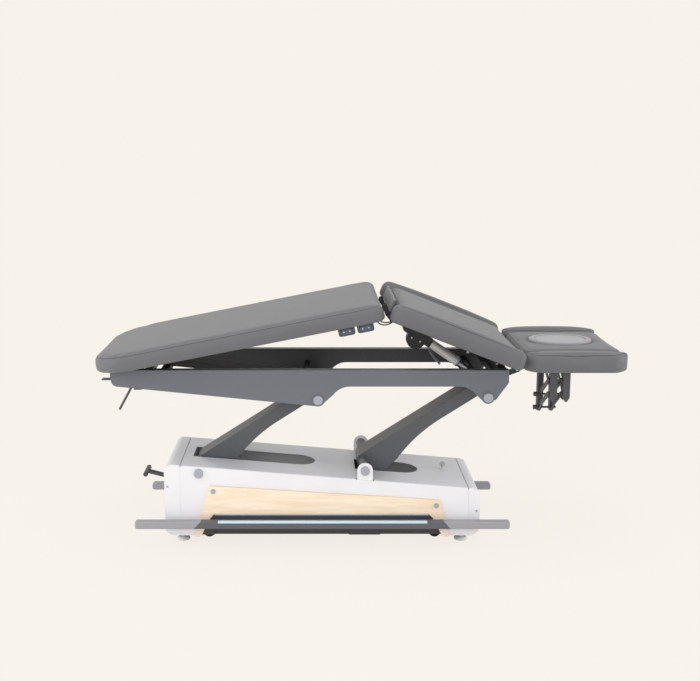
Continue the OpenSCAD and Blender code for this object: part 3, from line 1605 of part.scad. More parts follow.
// Armrest parallelogram: pivots in Y and Z, hangers in pairs along X
hang_y = 110;
hang_low_z = 534;
hang_high_z = 586;
hang_tip_z = 516;
swing_y = 270;
swing_rise = 91;
swing_tip_drop = 28;
near_x = 846;
far_x = 946;
pair_gap = 48;
hanger_plate_w = 27;
hanger_plate = 4;
web_d = 28;
tip_h = 16;
link_t = 5;
link_half = 9;
arm_pin_r = 4;
knob_r = 9;
knob_l = 12;

// Angle-section hanger with a pointed tip: flange across, web fore and aft; dir points outwards
module hanger(x, y, z_tip, z_top, flange_in, pins) {
  x0 = x - hanger_plate_w / 2;
  f = flange_in ? -1 : 1;
  y_f = y + f * web_d / 2;
  difference() {
    union() {
      translate([0, min(y_f, y_f - f * hanger_plate), 0]) slab(0, hanger_plate) polygon([
        [x0, z_tip + tip_h], [x0, z_top], [x0 + hanger_plate_w, z_top],
        [x0 + hanger_plate_w, z_tip + tip_h], [x0 + hanger_plate_w * 0.62, z_tip], [x0 + hanger_plate_w * 0.38, z_tip]
      ]);
      bar([x0, y - web_d / 2, z_tip + tip_h / 2], [x0 + hanger_plate, y + web_d / 2, z_top]);
    }
    for (z = pins) rod_x(x0 - over, x0 + hanger_plate + over, y, z, arm_pin_r + run_gap);
  }
}

head_rail_y = 96;
head_rail_w = 28;
head_rail_h = 20;
head_rail_x1 = 1050;
head_hinge_y = 136;
head_hinge_t = 7;

module head_side(x) {
  z_top = head_z0 - head_rail_h / 2;
  x0 = x - hanger_plate_w / 2;
  for (dx = [0, pair_gap]) hanger(x + dx, hang_y, hang_tip_z, z_top, true, [hang_low_z, hang_high_z]);
  // Pivot rods through both hangers, with rubber knobs at their foot ends
  for (z = [hang_low_z, hang_high_z]) {
    rod_x(x0 - knob_l / 2, x0 + pair_gap + hanger_plate_w, hang_y, z, arm_pin_r);
    rod_x(x0 - knob_l - seat_gap, x0 - seat_gap, hang_y, z, knob_r);
  }
}

module head_subframe() {
  z0 = head_z0 - head_rail_h;
  color(dark_grey) stand() {
    both_sides() {
      bar([head_x0 + head_edge, head_rail_y, z0], [head_rail_x1, head_rail_y + head_rail_w, head_z0]);
      slab(head_hinge_y, head_hinge_y + head_hinge_t) difference() {
        union() {
          translate([hinge_x, hinge_z]) circle(r = hinge_ring_r);
          polygon([[hinge_x, hinge_z - hinge_ring_r * 0.9], [hinge_x + hinge_ring_r / 2, head_z0 - seat_gap],
            [head_x0 + head_edge, head_z0 - seat_gap], [head_x0 + 3 * head_edge, head_z0], [head_x0 + 3 * head_edge, z0]]);
        }
        translate([hinge_x, hinge_z]) circle(r = hinge_d / 2 + run_gap);
      }
      bar([head_x0 + head_edge, head_rail_y + head_rail_w, z0], [head_x0 + 3 * head_edge, head_hinge_y, head_z0]);
    }
    bar([head_x0 + head_edge, -head_rail_y, z0], [head_x0 + head_edge + sub_w, head_rail_y, head_z0]);
    bar([head_rail_x1 - sub_w, -head_rail_y, z0], [head_rail_x1, head_rail_y, head_z0]);
    mirror([0, 1, 0]) head_side(near_x);
    head_side(far_x);
  }
}

armrest_out_r = 70;
armrest_in_r = 22;
armrest_edge = 20;

armrest_radii = [armrest_out_r, armrest_out_r, armrest_in_r, armrest_in_r];

module armrest_board(grow = 0) {
  translate([head_x0 + armrest_l / 2, armrest_in_y + armrest_w / 2, head_z0])
    board(armrest_l, armrest_w, armrest_radii, grow);
}

// Room for the lowered links in the inner edge of board and pad
module armrest_room(x) {
  bar([x - hanger_plate_w / 2 - open_gap, -far_out, head_z0 - over],
    [x + pair_gap + hanger_plate_w / 2, armrest_in_y + board_in + link_half, head_pad_z + link_t]);
}

// D-shaped in plan: both outer corners strongly rounded
module armrest_pad(x) {
  difference() {
    translate([head_x0 + armrest_l / 2, armrest_in_y + armrest_w / 2, head_pad_z + seat_gap])
      cushion(armrest_l, armrest_w, pad_t + armrest_up, armrest_radii, armrest_edge, crown_h / 2, 7);
    armrest_board(seat_gap);
    armrest_room(x);
  }
}

module armrest_near() {
  color(upholstery) stand() mirror([0, 1, 0]) armrest_pad(near_x);
}

module armrest_far() {
  color(upholstery) stand() armrest_pad(far_x);
}

// Board and hanging bracket of an armrest
module armrest_bracket(x) {
  low = hang_low_z + swing_rise;
  high = hang_high_z + swing_rise;
  shift = hanger_plate + link_t + 2;
  difference() {
    armrest_board();
    armrest_room(x);
  }
  for (dx = [0, pair_gap]) hanger(x + dx + shift, swing_y, low - swing_tip_drop, head_z0, false, [low, high]);
  for (z = [low, high])
    rod_x(x + shift - hanger_plate_w / 2 - link_t - 1, x + pair_gap + shift + hanger_plate_w / 2, swing_y, z, arm_pin_r);
}

module bracket_near() {
  color(dark_grey) stand() mirror([0, 1, 0]) armrest_bracket(near_x);
}

module bracket_far() {
  color(dark_grey) stand() armrest_bracket(far_x);
}

// Pair of parallel links joined by a tube at the fixed pivot
module armrest_link(x, z) {
  x0 = x - hanger_plate_w / 2 + hanger_plate + 1;
  d = [swing_y - hang_y, swing_rise];
  a = atan2(d[1], d[0]);
  difference() {
    for (dx = [0, pair_gap]) translate([x0 + dx, hang_y, z]) rotate([90, 0, 90]) linear_extrude(link_t) {
      circle(r = link_half);
      translate(d) circle(r = link_half);
      rotate(a) translate([0, -link_half]) square([norm(d), 2 * link_half]);
    }
    rod_x(x0 - over, x0 + far_out, hang_y, z, arm_pin_r + run_gap);
    rod_x(x0 - over, x0 + far_out, swing_y, z + swing_rise, arm_pin_r + run_gap);
  }
}

module link_near_lower() {
  color(dark_grey) stand() mirror([0, 1, 0]) armrest_link(near_x, hang_low_z);
}

module link_near_upper() {
  color(dark_grey) stand() mirror([0, 1, 0]) armrest_link(near_x, hang_high_z);
}

module link_far_lower() {
  color(dark_grey) stand() armrest_link(far_x, hang_low_z);
}

module link_far_upper() {
  color(dark_grey) stand() armrest_link(far_x, hang_high_z);
}

chassis();
base_cover();
foot_end_cover();
head_end_cover();
wood_panels();
light_strips();
base_screws();
base_axles();
base_axle_caps();
height_feet();
control_box();
key_switch();
key();
lift_motor();
lift_rod();
foot_bar_near();
foot_bar_far();
castor_pedal();
castor_lever();
castor_link_bar();
castor_wheel_1();
castor_wheel_2();
castor_wheel_3();
castor_wheel_4();
head_arm();
foot_arm();
side_plates();
cross_members();
upper_axles();
upper_axle_caps();
frame_braces();
slide_rails();
release_lever();
leg_cushion();
leg_board();
leg_subframe();
leg_rollers();
switch_pods();
rocker_foot();
rocker_head();
peak_cables();
back_pad();
back_bolsters();
back_board();
back_subframe();
back_motor();
back_rod();
cable_conduit();
head_pad();
head_board();
head_subframe();
face_plug();
armrest_near();
armrest_far();
bracket_near();
bracket_far();
link_near_lower();
link_near_upper();
link_far_lower();
link_far_upper();
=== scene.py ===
import bpy
import math
from mathutils import Matrix, Vector


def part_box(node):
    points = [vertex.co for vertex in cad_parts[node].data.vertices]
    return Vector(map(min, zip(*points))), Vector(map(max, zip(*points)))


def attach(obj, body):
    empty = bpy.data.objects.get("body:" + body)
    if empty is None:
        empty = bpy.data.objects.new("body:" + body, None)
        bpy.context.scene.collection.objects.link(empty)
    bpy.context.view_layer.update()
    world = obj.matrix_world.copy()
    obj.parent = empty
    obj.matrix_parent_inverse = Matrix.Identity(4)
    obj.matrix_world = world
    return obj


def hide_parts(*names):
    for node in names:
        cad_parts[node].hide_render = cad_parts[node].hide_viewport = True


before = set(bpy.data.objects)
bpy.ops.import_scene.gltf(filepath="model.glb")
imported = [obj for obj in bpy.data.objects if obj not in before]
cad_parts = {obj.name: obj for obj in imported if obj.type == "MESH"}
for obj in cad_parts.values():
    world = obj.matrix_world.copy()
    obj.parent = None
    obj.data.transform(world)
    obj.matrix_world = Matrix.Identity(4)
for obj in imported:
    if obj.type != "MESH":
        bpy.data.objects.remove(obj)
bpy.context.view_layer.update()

# Places that the table's source also holds, in metres. The base's middle lies at MID on the X axis.
MID = -0.139502
PEAK = Vector((0.237692 + MID, 0.0, 0.928921))
HINGE = Vector((0.735630 + MID, 0.0, 0.705856))
LEG_RISE = math.radians(11.2972)
BACK_FALL = math.radians(21.4)
COVER_FALL = math.radians(4.66)
MOTOR = Vector((0.335138 + MID, 0.0, 0.829512))
MOTOR_FALL = math.radians(34.4614)
BOARD_T = 0.012
HEAD_TOP = 0.710856 + BOARD_T


def on_leg():
    return Matrix.Translation(PEAK) @ Matrix.Rotation(-LEG_RISE, 4, "Y")


def on_back():
    return Matrix.Translation(HINGE) @ Matrix.Rotation(BACK_FALL, 4, "Y")


def cover_top(x):
    return 0.281 - (x - MID) * math.tan(COVER_FALL)


# Camera

PICTURE_W = 700  # pixels
FOCAL_LENGTH = 1075  # pixels
VANISHING_X = 314  # pixels


def set_camera():
    data = bpy.data.cameras.new("view_camera")
    data.sensor_width = 36
    data.lens = FOCAL_LENGTH / PICTURE_W * data.sensor_width
    data.shift_x = (PICTURE_W / 2 - VANISHING_X) / PICTURE_W
    data.clip_end = 60
    camera = bpy.data.objects.new("view_camera", data)
    bpy.context.collection.objects.link(camera)
    camera.location = (-0.032 + MID, -4.16954, 1.56921)
    camera.rotation_euler = (math.radians(90 - 10.771), 0, 0)
    bpy.context.scene.camera = camera


set_camera()


# Colour and node helpers

def rgb(r, g, b):
    """Colour as it looks on screen, 0 to 255, as a shader value."""
    def flat(v):
        v = v / 255
        return v / 12.92 if v <= 0.04045 else ((v + 0.055) / 1.055) ** 2.4
    return (flat(r), flat(g), flat(b), 1)


class Nodes:
    """Adds nodes to one tree and links them by socket name."""

    def __init__(self, tree):
        self.tree = tree
        self.step = 0

    def add(self, kind, values=None, **settings):
        node = self.tree.nodes.new(kind)
        node.location = (180 * self.step, -40 * (self.step % 5))
        self.step += 1
        for key, value in settings.items():
            setattr(node, key, value)
        for key, value in (values or {}).items():
            self.set(node, key, value)
        return node

    def set(self, node, key, value):
        if isinstance(value, bpy.types.NodeSocket):
            self.tree.links.new(value, node.inputs[key])
        else:
            node.inputs[key].default_value = value

    def math(self, kind, a, b=0.0):
        node = self.add("ShaderNodeMath", operation=kind)
        self.set(node, 0, a)
        self.set(node, 1, b)
        return node.outputs[0]

    def mix(self, factor, a, b):
        node = self.add("ShaderNodeMix", data_type="RGBA")
        self.set(node, 0, factor)
        self.set(node, 6, a)
        self.set(node, 7, b)
        return node.outputs[2]

    def span(self, value, low, high, to_low=0.0, to_high=1.0, smooth=False):
        node = self.add("ShaderNodeMapRange", interpolation_type="SMOOTHSTEP" if smooth else "LINEAR")
        for key, v in ((0, value), (1, low), (2, high), (3, to_low), (4, to_high)):
            self.set(node, key, v)
        return node.outputs[0]

    def noise(self, place, scale, detail=3.0, rough=0.55):
        values = {"Vector": place, "Scale": scale, "Detail": detail, "Roughness": rough}
        return self.add("ShaderNodeTexNoise", values).outputs[0]

    def product(self, a, b):
        return self.add("ShaderNodeVectorMath", {0: a, 1: b}, operation="MULTIPLY").outputs[0]

    def bump(self, height, depth, normal):
        """Relief of the given depth in metres, on top of another normal."""
        return self.add("ShaderNodeBump", {"Height": self.math("MULTIPLY", height, depth), "Distance": 1.0,
                                           "Normal": normal}).outputs[0]

    def split(self, vector):
        return self.add("ShaderNodeSeparateXYZ", {0: vector}).outputs


def group(name, inputs, outputs, build):
    tree = bpy.data.node_groups.new(name, "ShaderNodeTree")
    for label, kind, value in inputs:
        socket = tree.interface.new_socket(label, in_out="INPUT", socket_type=kind)
        if value is not None:
            socket.default_value = value
    for label, kind in outputs:
        tree.interface.new_socket(label, in_out="OUTPUT", socket_type=kind)
    nodes = Nodes(tree)
    start = nodes.add("NodeGroupInput")
    results = build(nodes, start.outputs)
    end = nodes.add("NodeGroupOutput")
    for label, value in results.items():
        nodes.set(end, label, value)
    return tree


FLOAT, VECTOR = "NodeSocketFloat", "NodeSocketVector"


def build_grain(nodes, given):
    """Fine pebbled grain of artificial leather, in cells about a millimetre across."""
    cells = nodes.add("ShaderNodeTexVoronoi", {"Vector": given["Place"], "Scale": given["Cells"]},
                      feature="F1")
    fine = nodes.noise(given["Place"], 2600.0, 2.0)
    broad = nodes.noise(given["Place"], 7.0, 2.0)
    pebble = nodes.span(cells.outputs[0], 0.0, 0.7, 1.0, 0.0, smooth=True)
    height = nodes.math("ADD", nodes.math("MULTIPLY", pebble, 0.75), nodes.math("MULTIPLY", fine, 0.25))
    shade = nodes.span(broad, 0.3, 0.7, 0.965, 1.035)
    return {"Height": height, "Shade": shade, "Gloss": nodes.span(height, 0.2, 0.9, 0.06, -0.04)}


GRAIN = group(
    "leather grain", [("Place", VECTOR, None), ("Cells", FLOAT, 900.0)],
    [("Height", FLOAT), ("Shade", FLOAT), ("Gloss", FLOAT)], build_grain,
)


def build_seam(nodes, given):
    """Sewn line at zero distance with a soft roll on both sides and short stitches; its groove mask carries
    painted shade.
    """
    d = nodes.math("ABSOLUTE", given["Distance"])
    groove = nodes.span(d, 0.0006, 0.0019, 1.0, 0.0, smooth=True)
    roll = nodes.span(d, 0.002, 0.008, 1.0, 0.0, smooth=True)
    off_thread = nodes.math("ABSOLUTE", nodes.math("SUBTRACT", given["Distance"], 0.004))
    beside = nodes.span(off_thread, 0.0004, 0.0009, 1.0, 0.0)
    beat = nodes.math("FRACT", nodes.math("DIVIDE", given["Along"], 0.0045))
    thread = nodes.span(nodes.math("ABSOLUTE", nodes.math("SUBTRACT", beat, 0.5)), 0.30, 0.36, 1.0, 0.0)
    stitch = nodes.math("MULTIPLY", beside, thread)
    height = nodes.math("ADD", nodes.math("MULTIPLY", roll, 0.9), nodes.math("MULTIPLY", groove, -1.6))
    height = nodes.math("ADD", height, nodes.math("MULTIPLY", stitch, -0.5))
    return {"Height": height, "Groove shade": groove, "Stitch": stitch}


SEAM = group(
    "sewn seam", [("Distance", FLOAT, 1.0), ("Along", FLOAT, 0.0)],
    [("Height", FLOAT), ("Groove shade", FLOAT), ("Stitch", FLOAT)], build_seam,
)


def build_coat(nodes, given):
    """Orange peel of sprayed or powder coat, with faint dust and a slow change of tone."""
    peel = nodes.noise(given["Place"], given["Peel"], 2.0, 0.5)
    slow = nodes.noise(given["Place"], 4.0, 3.0)
    dust = nodes.noise(given["Place"], 60.0, 6.0, 0.7)
    shade = nodes.span(slow, 0.3, 0.7, 0.975, 1.025)
    mask = nodes.span(dust, 0.56, 0.8, 0.0, 1.0)
    return {"Height": peel, "Shade": shade, "Dust": mask}


COAT = group(
    "sprayed coat", [("Place", VECTOR, None), ("Peel", FLOAT, 900.0)],
    [("Height", FLOAT), ("Shade", FLOAT), ("Dust", FLOAT)], build_coat,
)


def build_wear(nodes, given):
    """Bright rubbed corners, from the difference between the flat and the rounded normal."""
    bevel = nodes.add("ShaderNodeBevel", {"Radius": given["Width"]}, samples=6)
    normal = nodes.add("ShaderNodeNewGeometry").outputs["True Normal"]
    dot = nodes.add("ShaderNodeVectorMath", {0: bevel.outputs[0], 1: normal}, operation="DOT_PRODUCT")
    edge = nodes.span(dot.outputs["Value"], 0.75, 0.995, 1.0, 0.0)
    broken = nodes.span(nodes.noise(given["Place"], 140.0, 4.0, 0.7), 0.42, 0.62, 0.25, 1.0)
    return {"Edge": nodes.math("MULTIPLY", edge, broken), "Normal": bevel.outputs[0]}


WEAR = group(
    "worn edge", [("Place", VECTOR, None), ("Width", FLOAT, 0.0012)],
    [("Edge", FLOAT), ("Normal", VECTOR)], build_wear,
)


def start_material(name):
    material = bpy.data.materials.new(name)
    material.use_nodes = True
    material.node_tree.nodes.clear()
    nodes = Nodes(material.node_tree)
    shader = nodes.add("ShaderNodeBsdfPrincipled")
    out = nodes.add("ShaderNodeOutputMaterial")
    material.node_tree.links.new(shader.outputs[0], out.inputs[0])
    place = nodes.add("ShaderNodeTexCoord").outputs["Object"]
    return material, nodes, shader, place


def use(nodes, tree, **values):
    node = nodes.add("ShaderNodeGroup")
    node.node_tree = tree
    for key, value in values.items():
        nodes.set(node, key, value)
    return node.outputs


def leather(name, colour, rough=0.5):
    """Artificial leather with the seam that sew() marks on the mesh, and painted shade in the seam's groove.
    """
    material, nodes, shader, place = start_material(name)
    grain = use(nodes, GRAIN, Place=place, Cells=900.0)
    tone = nodes.product(colour[:3], grain["Shade"])
    height = nodes.math("MULTIPLY", grain["Height"], 0.00022)
    distance = nodes.add("ShaderNodeAttribute", attribute_name="seam").outputs["Fac"]
    along = nodes.add("ShaderNodeAttribute", attribute_name="along").outputs["Fac"]
    seam = use(nodes, SEAM, Distance=distance, Along=along)
    height = nodes.math("ADD", height, nodes.math("MULTIPLY", seam["Height"], 0.0011))
    # Painted shade: the seam's groove is darkened almost to black.
    tone = nodes.mix(nodes.math("MULTIPLY", seam["Groove shade"], 0.7), tone, (0.02, 0.02, 0.02, 1))
    tone = nodes.mix(nodes.math("MULTIPLY", seam["Stitch"], 0.5), tone, rgb(120, 118, 119))
    bump = nodes.add("ShaderNodeBump", {"Height": height, "Strength": 0.55, "Distance": 1.0})
    nodes.set(shader, "Base Color", tone)
    nodes.set(shader, "Roughness", nodes.math("ADD", grain["Gloss"], rough))
    nodes.set(shader, "Normal", bump.outputs[0])
    shader.inputs["Specular IOR Level"].default_value = 0.42
    shader.inputs["Sheen Weight"].default_value = 0.12
    shader.inputs["Sheen Roughness"].default_value = 0.45
    return material


def coated(name, colour, rough=0.45, peel=900.0, depth=0.00006, worn=0.25, metallic=0.0, dust=0.05,
           other=None, where=None):
    """Painted or moulded surface; where, if given, masks a second colour in."""
    material, nodes, shader, place = start_material(name)
    coat = use(nodes, COAT, Place=place, Peel=peel)
    wear = use(nodes, WEAR, Place=place)
    base = nodes.mix(where(nodes, place), colour, other) if where else colour[:3]
    tone = nodes.product(base, coat["Shade"])
    light = [min(1.0, c * 1.7 + 0.03) for c in colour[:3]] + [1]
    tone = nodes.mix(nodes.math("MULTIPLY", wear["Edge"], worn), tone, light)
    tone = nodes.mix(nodes.math("MULTIPLY", coat["Dust"], dust), tone, rgb(190, 186, 180))
    nodes.set(shader, "Base Color", tone)
    nodes.set(shader, "Roughness", nodes.math("ADD", nodes.math("MULTIPLY", coat["Dust"], 0.12), rough))
    nodes.set(shader, "Normal", nodes.bump(coat["Height"], depth, wear["Normal"]))
    shader.inputs["Metallic"].default_value = metallic
    return material


def painted_shade_inner_faces(nodes, place):
    """1 on faces that look towards the middle of the table, where the frame's colour turns to painted shade.
    """
    side = nodes.math("SIGN", nodes.split(place)["Y"])
    facing = nodes.split(nodes.add("ShaderNodeNewGeometry").outputs["Normal"])["Y"]
    return nodes.span(nodes.math("MULTIPLY", side, facing), -0.6, -0.3, 1.0, 0.0)


def pivot_plates(nodes, place):
    """1 on the outer and upper part of the chassis, which is painted like the covers."""
    parts = nodes.split(place)
    out = nodes.span(nodes.math("ABSOLUTE", parts["Y"]), 0.1885, 0.1890)
    return nodes.math("MULTIPLY", out, nodes.span(parts["Z"], 0.228, 0.229))


def turned_metal(name, colour, rough=0.3, axis=1):
    """Bright metal with fine rings round its axis."""
    material, nodes, shader, place = start_material(name)
    stretch = [3.0, 3.0, 3.0]
    stretch[axis] = 900.0
    lines = nodes.noise(nodes.product(place, stretch), 1.0, 3.0)
    wear = use(nodes, WEAR, Place=place, Width=0.0006)
    tone = nodes.mix(nodes.span(lines, 0.3, 0.7), [c * 0.9 for c in colour[:3]] + [1], colour)
    nodes.set(shader, "Base Color", tone)
    nodes.set(shader, "Roughness", nodes.span(lines, 0.3, 0.7, rough - 0.05, rough + 0.1))
    nodes.set(shader, "Normal", nodes.bump(lines, 0.00004, wear["Normal"]))
    shader.inputs["Metallic"].default_value = 1.0
    return material


def birch_ply():
    """Pale birch with long grain along X, small flecks, and ply layers on the cut edges."""
    material, nodes, shader, place = start_material("birch ply")
    long_grain = nodes.product(place, (1.6, 44.0, 24.0))
    warp = nodes.add("ShaderNodeTexNoise", {"Vector": long_grain, "Scale": 1.1, "Detail": 3.0})
    bent = nodes.add("ShaderNodeVectorMath", {0: long_grain, 1: warp.outputs["Color"]}, operation="ADD")
    bands = nodes.noise(bent.outputs[0], 3.2, 5.0, 0.62)
    fibre = nodes.noise(nodes.product(place, (14.0, 900.0, 520.0)), 1.0, 3.0)
    fleck = nodes.span(nodes.noise(nodes.product(place, (160.0, 900.0, 900.0)), 0.6, 1.0), 0.66, 0.74)
    tone = nodes.mix(nodes.span(bands, 0.35, 0.66, smooth=True), rgb(243, 221, 194), rgb(253, 238, 216))
    tone = nodes.mix(nodes.math("MULTIPLY", fibre, 0.2), tone, rgb(234, 204, 170))
    tone = nodes.mix(nodes.math("MULTIPLY", fleck, 0.25), tone, rgb(205, 165, 122))
    facing = nodes.math("ABSOLUTE", nodes.split(nodes.add("ShaderNodeNewGeometry").outputs["Normal"])["Y"])
    layer = nodes.math("FRACT", nodes.math("MULTIPLY", nodes.split(place)["Y"], 700.0))
    ply = nodes.mix(nodes.span(layer, 0.45, 0.55), rgb(214, 178, 138), rgb(240, 212, 178))
    tone = nodes.mix(nodes.span(facing, 0.3, 0.6), ply, tone)
    bump = nodes.add("ShaderNodeBump", {"Height": nodes.math("MULTIPLY", fibre, 0.00012), "Distance": 1.0})
    nodes.set(shader, "Base Color", tone)
    nodes.set(shader, "Roughness", nodes.span(bands, 0.3, 0.7, 0.5, 0.6))
    nodes.set(shader, "Normal", bump.outputs[0])
    return material


def foot_bar_paint():
    """Dark middle and light ends, parted by a slanting line, along both bars."""
    material, nodes, shader, place = start_material("foot bar paint")
    coat = use(nodes, COAT, Place=place, Peel=1100.0)
    wear = use(nodes, WEAR, Place=place)
    parts = nodes.split(place)
    reach = nodes.math("ABSOLUTE", nodes.math("SUBTRACT", parts["X"], MID))
    slanted = nodes.math("ADD", reach, nodes.math("MULTIPLY", nodes.math("SUBTRACT", parts["Z"], 0.103), 0.9))
    ends = nodes.span(slanted, 0.478, 0.4795)
    tone = nodes.mix(ends, rgb(90, 92, 97), rgb(156, 155, 159))
    tone = nodes.product(tone, coat["Shade"])
    tone = nodes.mix(nodes.math("MULTIPLY", wear["Edge"], 0.3), tone, rgb(190, 190, 192))
    nodes.set(shader, "Base Color", tone)
    nodes.set(shader, "Roughness", nodes.math("ADD", nodes.math("MULTIPLY", coat["Dust"], 0.1), 0.42))
    nodes.set(shader, "Normal", nodes.bump(coat["Height"], 0.00005, wear["Normal"]))
    return material


def light_strip():
    """Frosted strip that glows a little, row of lamps faintly showing; its pale colour and glow are painted
    light, the lamplight on the foot bar's top.
    """
    material, nodes, shader, place = start_material("painted glow strip")
    dots = nodes.math("FRACT", nodes.math("MULTIPLY", nodes.split(place)["X"], 60.0))
    glow = nodes.span(nodes.math("ABSOLUTE", nodes.math("SUBTRACT", dots, 0.5)), 0.0, 0.5, 1.0, 0.86)
    nodes.set(shader, "Base Color", rgb(190, 209, 220))
    nodes.set(shader, "Emission Color", nodes.mix(glow, (0, 0, 0, 1), rgb(205, 226, 238)))
    shader.inputs["Emission Strength"].default_value = 0.16
    shader.inputs["Roughness"].default_value = 0.35
    return material


M_COVER = leather("grey artificial leather", rgb(98, 98, 101))
M_PLUG = leather("light grey artificial leather", rgb(150, 149, 153), rough=0.42)
# Frame powder coat; its inner faces take a near-black second colour, which is painted shade.
M_FRAME = coated("frame powder coat", rgb(104, 107, 114), rough=0.42, other=rgb(44, 44, 47), where=painted_shade_inner_faces)
M_CHASSIS = coated("chassis paint", rgb(58, 58, 61), rough=0.46, other=rgb(236, 235, 236), where=pivot_plates)
M_ARM = coated("arm powder coat", rgb(84, 86, 90), rough=0.45)
M_DARK = coated("dark powder coat", rgb(68, 68, 71), rough=0.48)
M_DEEP = coated("deep grey powder coat", rgb(36, 37, 40), rough=0.5, worn=0.15)
M_BOARD = coated("black laminate", rgb(34, 34, 36), rough=0.55, worn=0.1)
M_WHITE = coated("white shell", rgb(233, 232, 234), rough=0.38, peel=1400.0, depth=0.00003, worn=0.1,
                 dust=0.03)
M_FOOT = coated("white moulding", rgb(238, 238, 237), rough=0.5, worn=0.1)
M_CAP = coated("silver cap", rgb(166, 168, 176), rough=0.4, worn=0.3)
M_BLACK = coated("black moulding", rgb(17, 17, 19), rough=0.42, peel=1600.0, depth=0.00008, worn=0.12)
M_POD = coated("blue grey moulding", rgb(70, 76, 90), rough=0.4, worn=0.15)
M_ROCKER = coated("rocker moulding", rgb(82, 88, 103), rough=0.38, worn=0.15)
M_RUBBER = coated("black rubber", rgb(30, 30, 31), rough=0.7, peel=500.0, depth=0.0001, worn=0.05, dust=0.14)
M_CONDUIT = coated("grey conduit", rgb(104, 103, 105), rough=0.5, worn=0.3)
M_MARK = coated("pale print", rgb(206, 212, 224), rough=0.5, worn=0.05)
# Painted shade for the shadowed gap in the cover's cut-outs.
M_SHADE_TRAY = coated("painted shade tray", rgb(62, 72, 80), rough=0.45, worn=0.1)
M_NYLON = coated("grey nylon", rgb(150, 150, 152), rough=0.45, worn=0.1)
M_STEEL = turned_metal("plated steel", rgb(190, 189, 190), rough=0.3)
M_TUBE = coated("silver tube", rgb(206, 204, 202), rough=0.36, metallic=0.2, worn=0.1)
M_LOCK = turned_metal("plated lock", rgb(206, 206, 206), rough=0.18, axis=2)
M_ZINC = turned_metal("zinc screw", rgb(205, 203, 200), rough=0.35)
M_BAR = foot_bar_paint()
M_BIRCH = birch_ply()
# Painted light: pale glowing strip for the lamplight on the foot bars.
M_PAINTED_GLOW = light_strip()

FINISHES = {
    M_WHITE: ["base_cover", "foot_end_cover", "head_end_cover"],
    M_DEEP: ["cross_members", "frame_braces", "leg_subframe", "back_subframe"],
    M_DARK: ["slide_rails", "release_lever", "head_subframe", "bracket_near", "bracket_far",
             "link_near_lower", "link_near_upper", "link_far_lower", "link_far_upper", "castor_pedal",
             "castor_lever"],
    M_BIRCH: ["wood_panels"],
    M_PAINTED_GLOW: ["light_strips"],
    M_CAP: ["base_screws", "base_axle_caps", "upper_axle_caps"],
    M_STEEL: ["base_axles", "upper_axles", "lift_rod", "castor_link_bar", "back_rod"],
    M_FOOT: ["height_feet"],
    M_BLACK: ["control_box", "lift_motor"],
    M_LOCK: ["key_switch", "key"],
    M_BAR: ["foot_bar_near", "foot_bar_far"],
    M_CONDUIT: ["cable_conduit"],
    M_ARM: ["head_arm", "foot_arm"],
    M_FRAME: ["side_plates"],
    M_COVER: ["leg_cushion", "back_pad", "back_bolsters", "head_pad", "armrest_near", "armrest_far"],
    M_PLUG: ["face_plug"],
    M_BOARD: ["leg_board", "back_board", "head_board"],
    M_NYLON: ["leg_rollers"],
    M_POD: ["switch_pods"],
    M_ROCKER: ["rocker_foot", "rocker_head"],
    M_RUBBER: ["castor_wheel_1", "castor_wheel_2", "castor_wheel_3", "castor_wheel_4", "peak_cables"],
}


def dress(name, *materials):
    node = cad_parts[name]
    mesh = bpy.data.objects[node].data if isinstance(node, str) else node.data
    mesh.materials.clear()
    for material in materials:
        mesh.materials.append(material)
    return mesh


for finish, names in FINISHES.items():
    for name in names:
        dress(name, finish)


dress("chassis", M_CHASSIS)


def silver_tube():
    """The actuator's tube is bare metal; its gear housing and collar are black."""
    mesh = dress("back_motor", M_BLACK, M_TUBE)
    along = Vector((math.cos(MOTOR_FALL), 0, -math.sin(MOTOR_FALL)))
    tube_start, tube_end = 0.1145, 0.243
    for face in mesh.polygons:
        if tube_start < (face.center - MOTOR).dot(along) < tube_end:
            face.material_index = 1


silver_tube()


# Modelling helpers

def clear_selection():
    if bpy.context.object and bpy.context.object.mode != "OBJECT":
        bpy.ops.object.mode_set(mode="OBJECT")
    bpy.ops.object.select_all(action="DESELECT")


def activate(piece):
    clear_selection()
    piece.select_set(True)
    bpy.context.view_layer.objects.active = piece


def edges_where(piece, test):
    """Leaves the piece in edit mode with the edges that pass the test selected."""
    activate(piece)
    bpy.ops.object.mode_set(mode="EDIT")
    bpy.ops.mesh.select_mode(type="EDGE")
    bpy.ops.mesh.select_all(action="DESELECT")
    bpy.ops.object.mode_set(mode="OBJECT")
    points = piece.data.vertices
    for edge in piece.data.edges:
        edge.select = bool(test(points[edge.vertices[0]].co, points[edge.vertices[1]].co))
    bpy.ops.object.mode_set(mode="EDIT")


def faces_where(piece, test):
    """Leaves the piece in edit mode with the faces that pass the test selected."""
    activate(piece)
    bpy.ops.object.mode_set(mode="EDIT")
    bpy.ops.mesh.select_mode(type="FACE")
    bpy.ops.mesh.select_all(action="DESELECT")
    bpy.ops.object.mode_set(mode="OBJECT")
    for face in piece.data.polygons:
        face.select = bool(test(face.center, face.normal))
    bpy.ops.object.mode_set(mode="EDIT")


def done():
    bpy.ops.object.mode_set(mode="OBJECT")


def new_block(name, size, at=(0, 0, 0)):
    clear_selection()
    bpy.ops.mesh.primitive_cube_add(size=1, location=at)
    piece = bpy.context.object
    piece.name = name
    piece.scale = size
    bpy.ops.object.transform_apply(location=True, rotation=True, scale=True)
    return piece


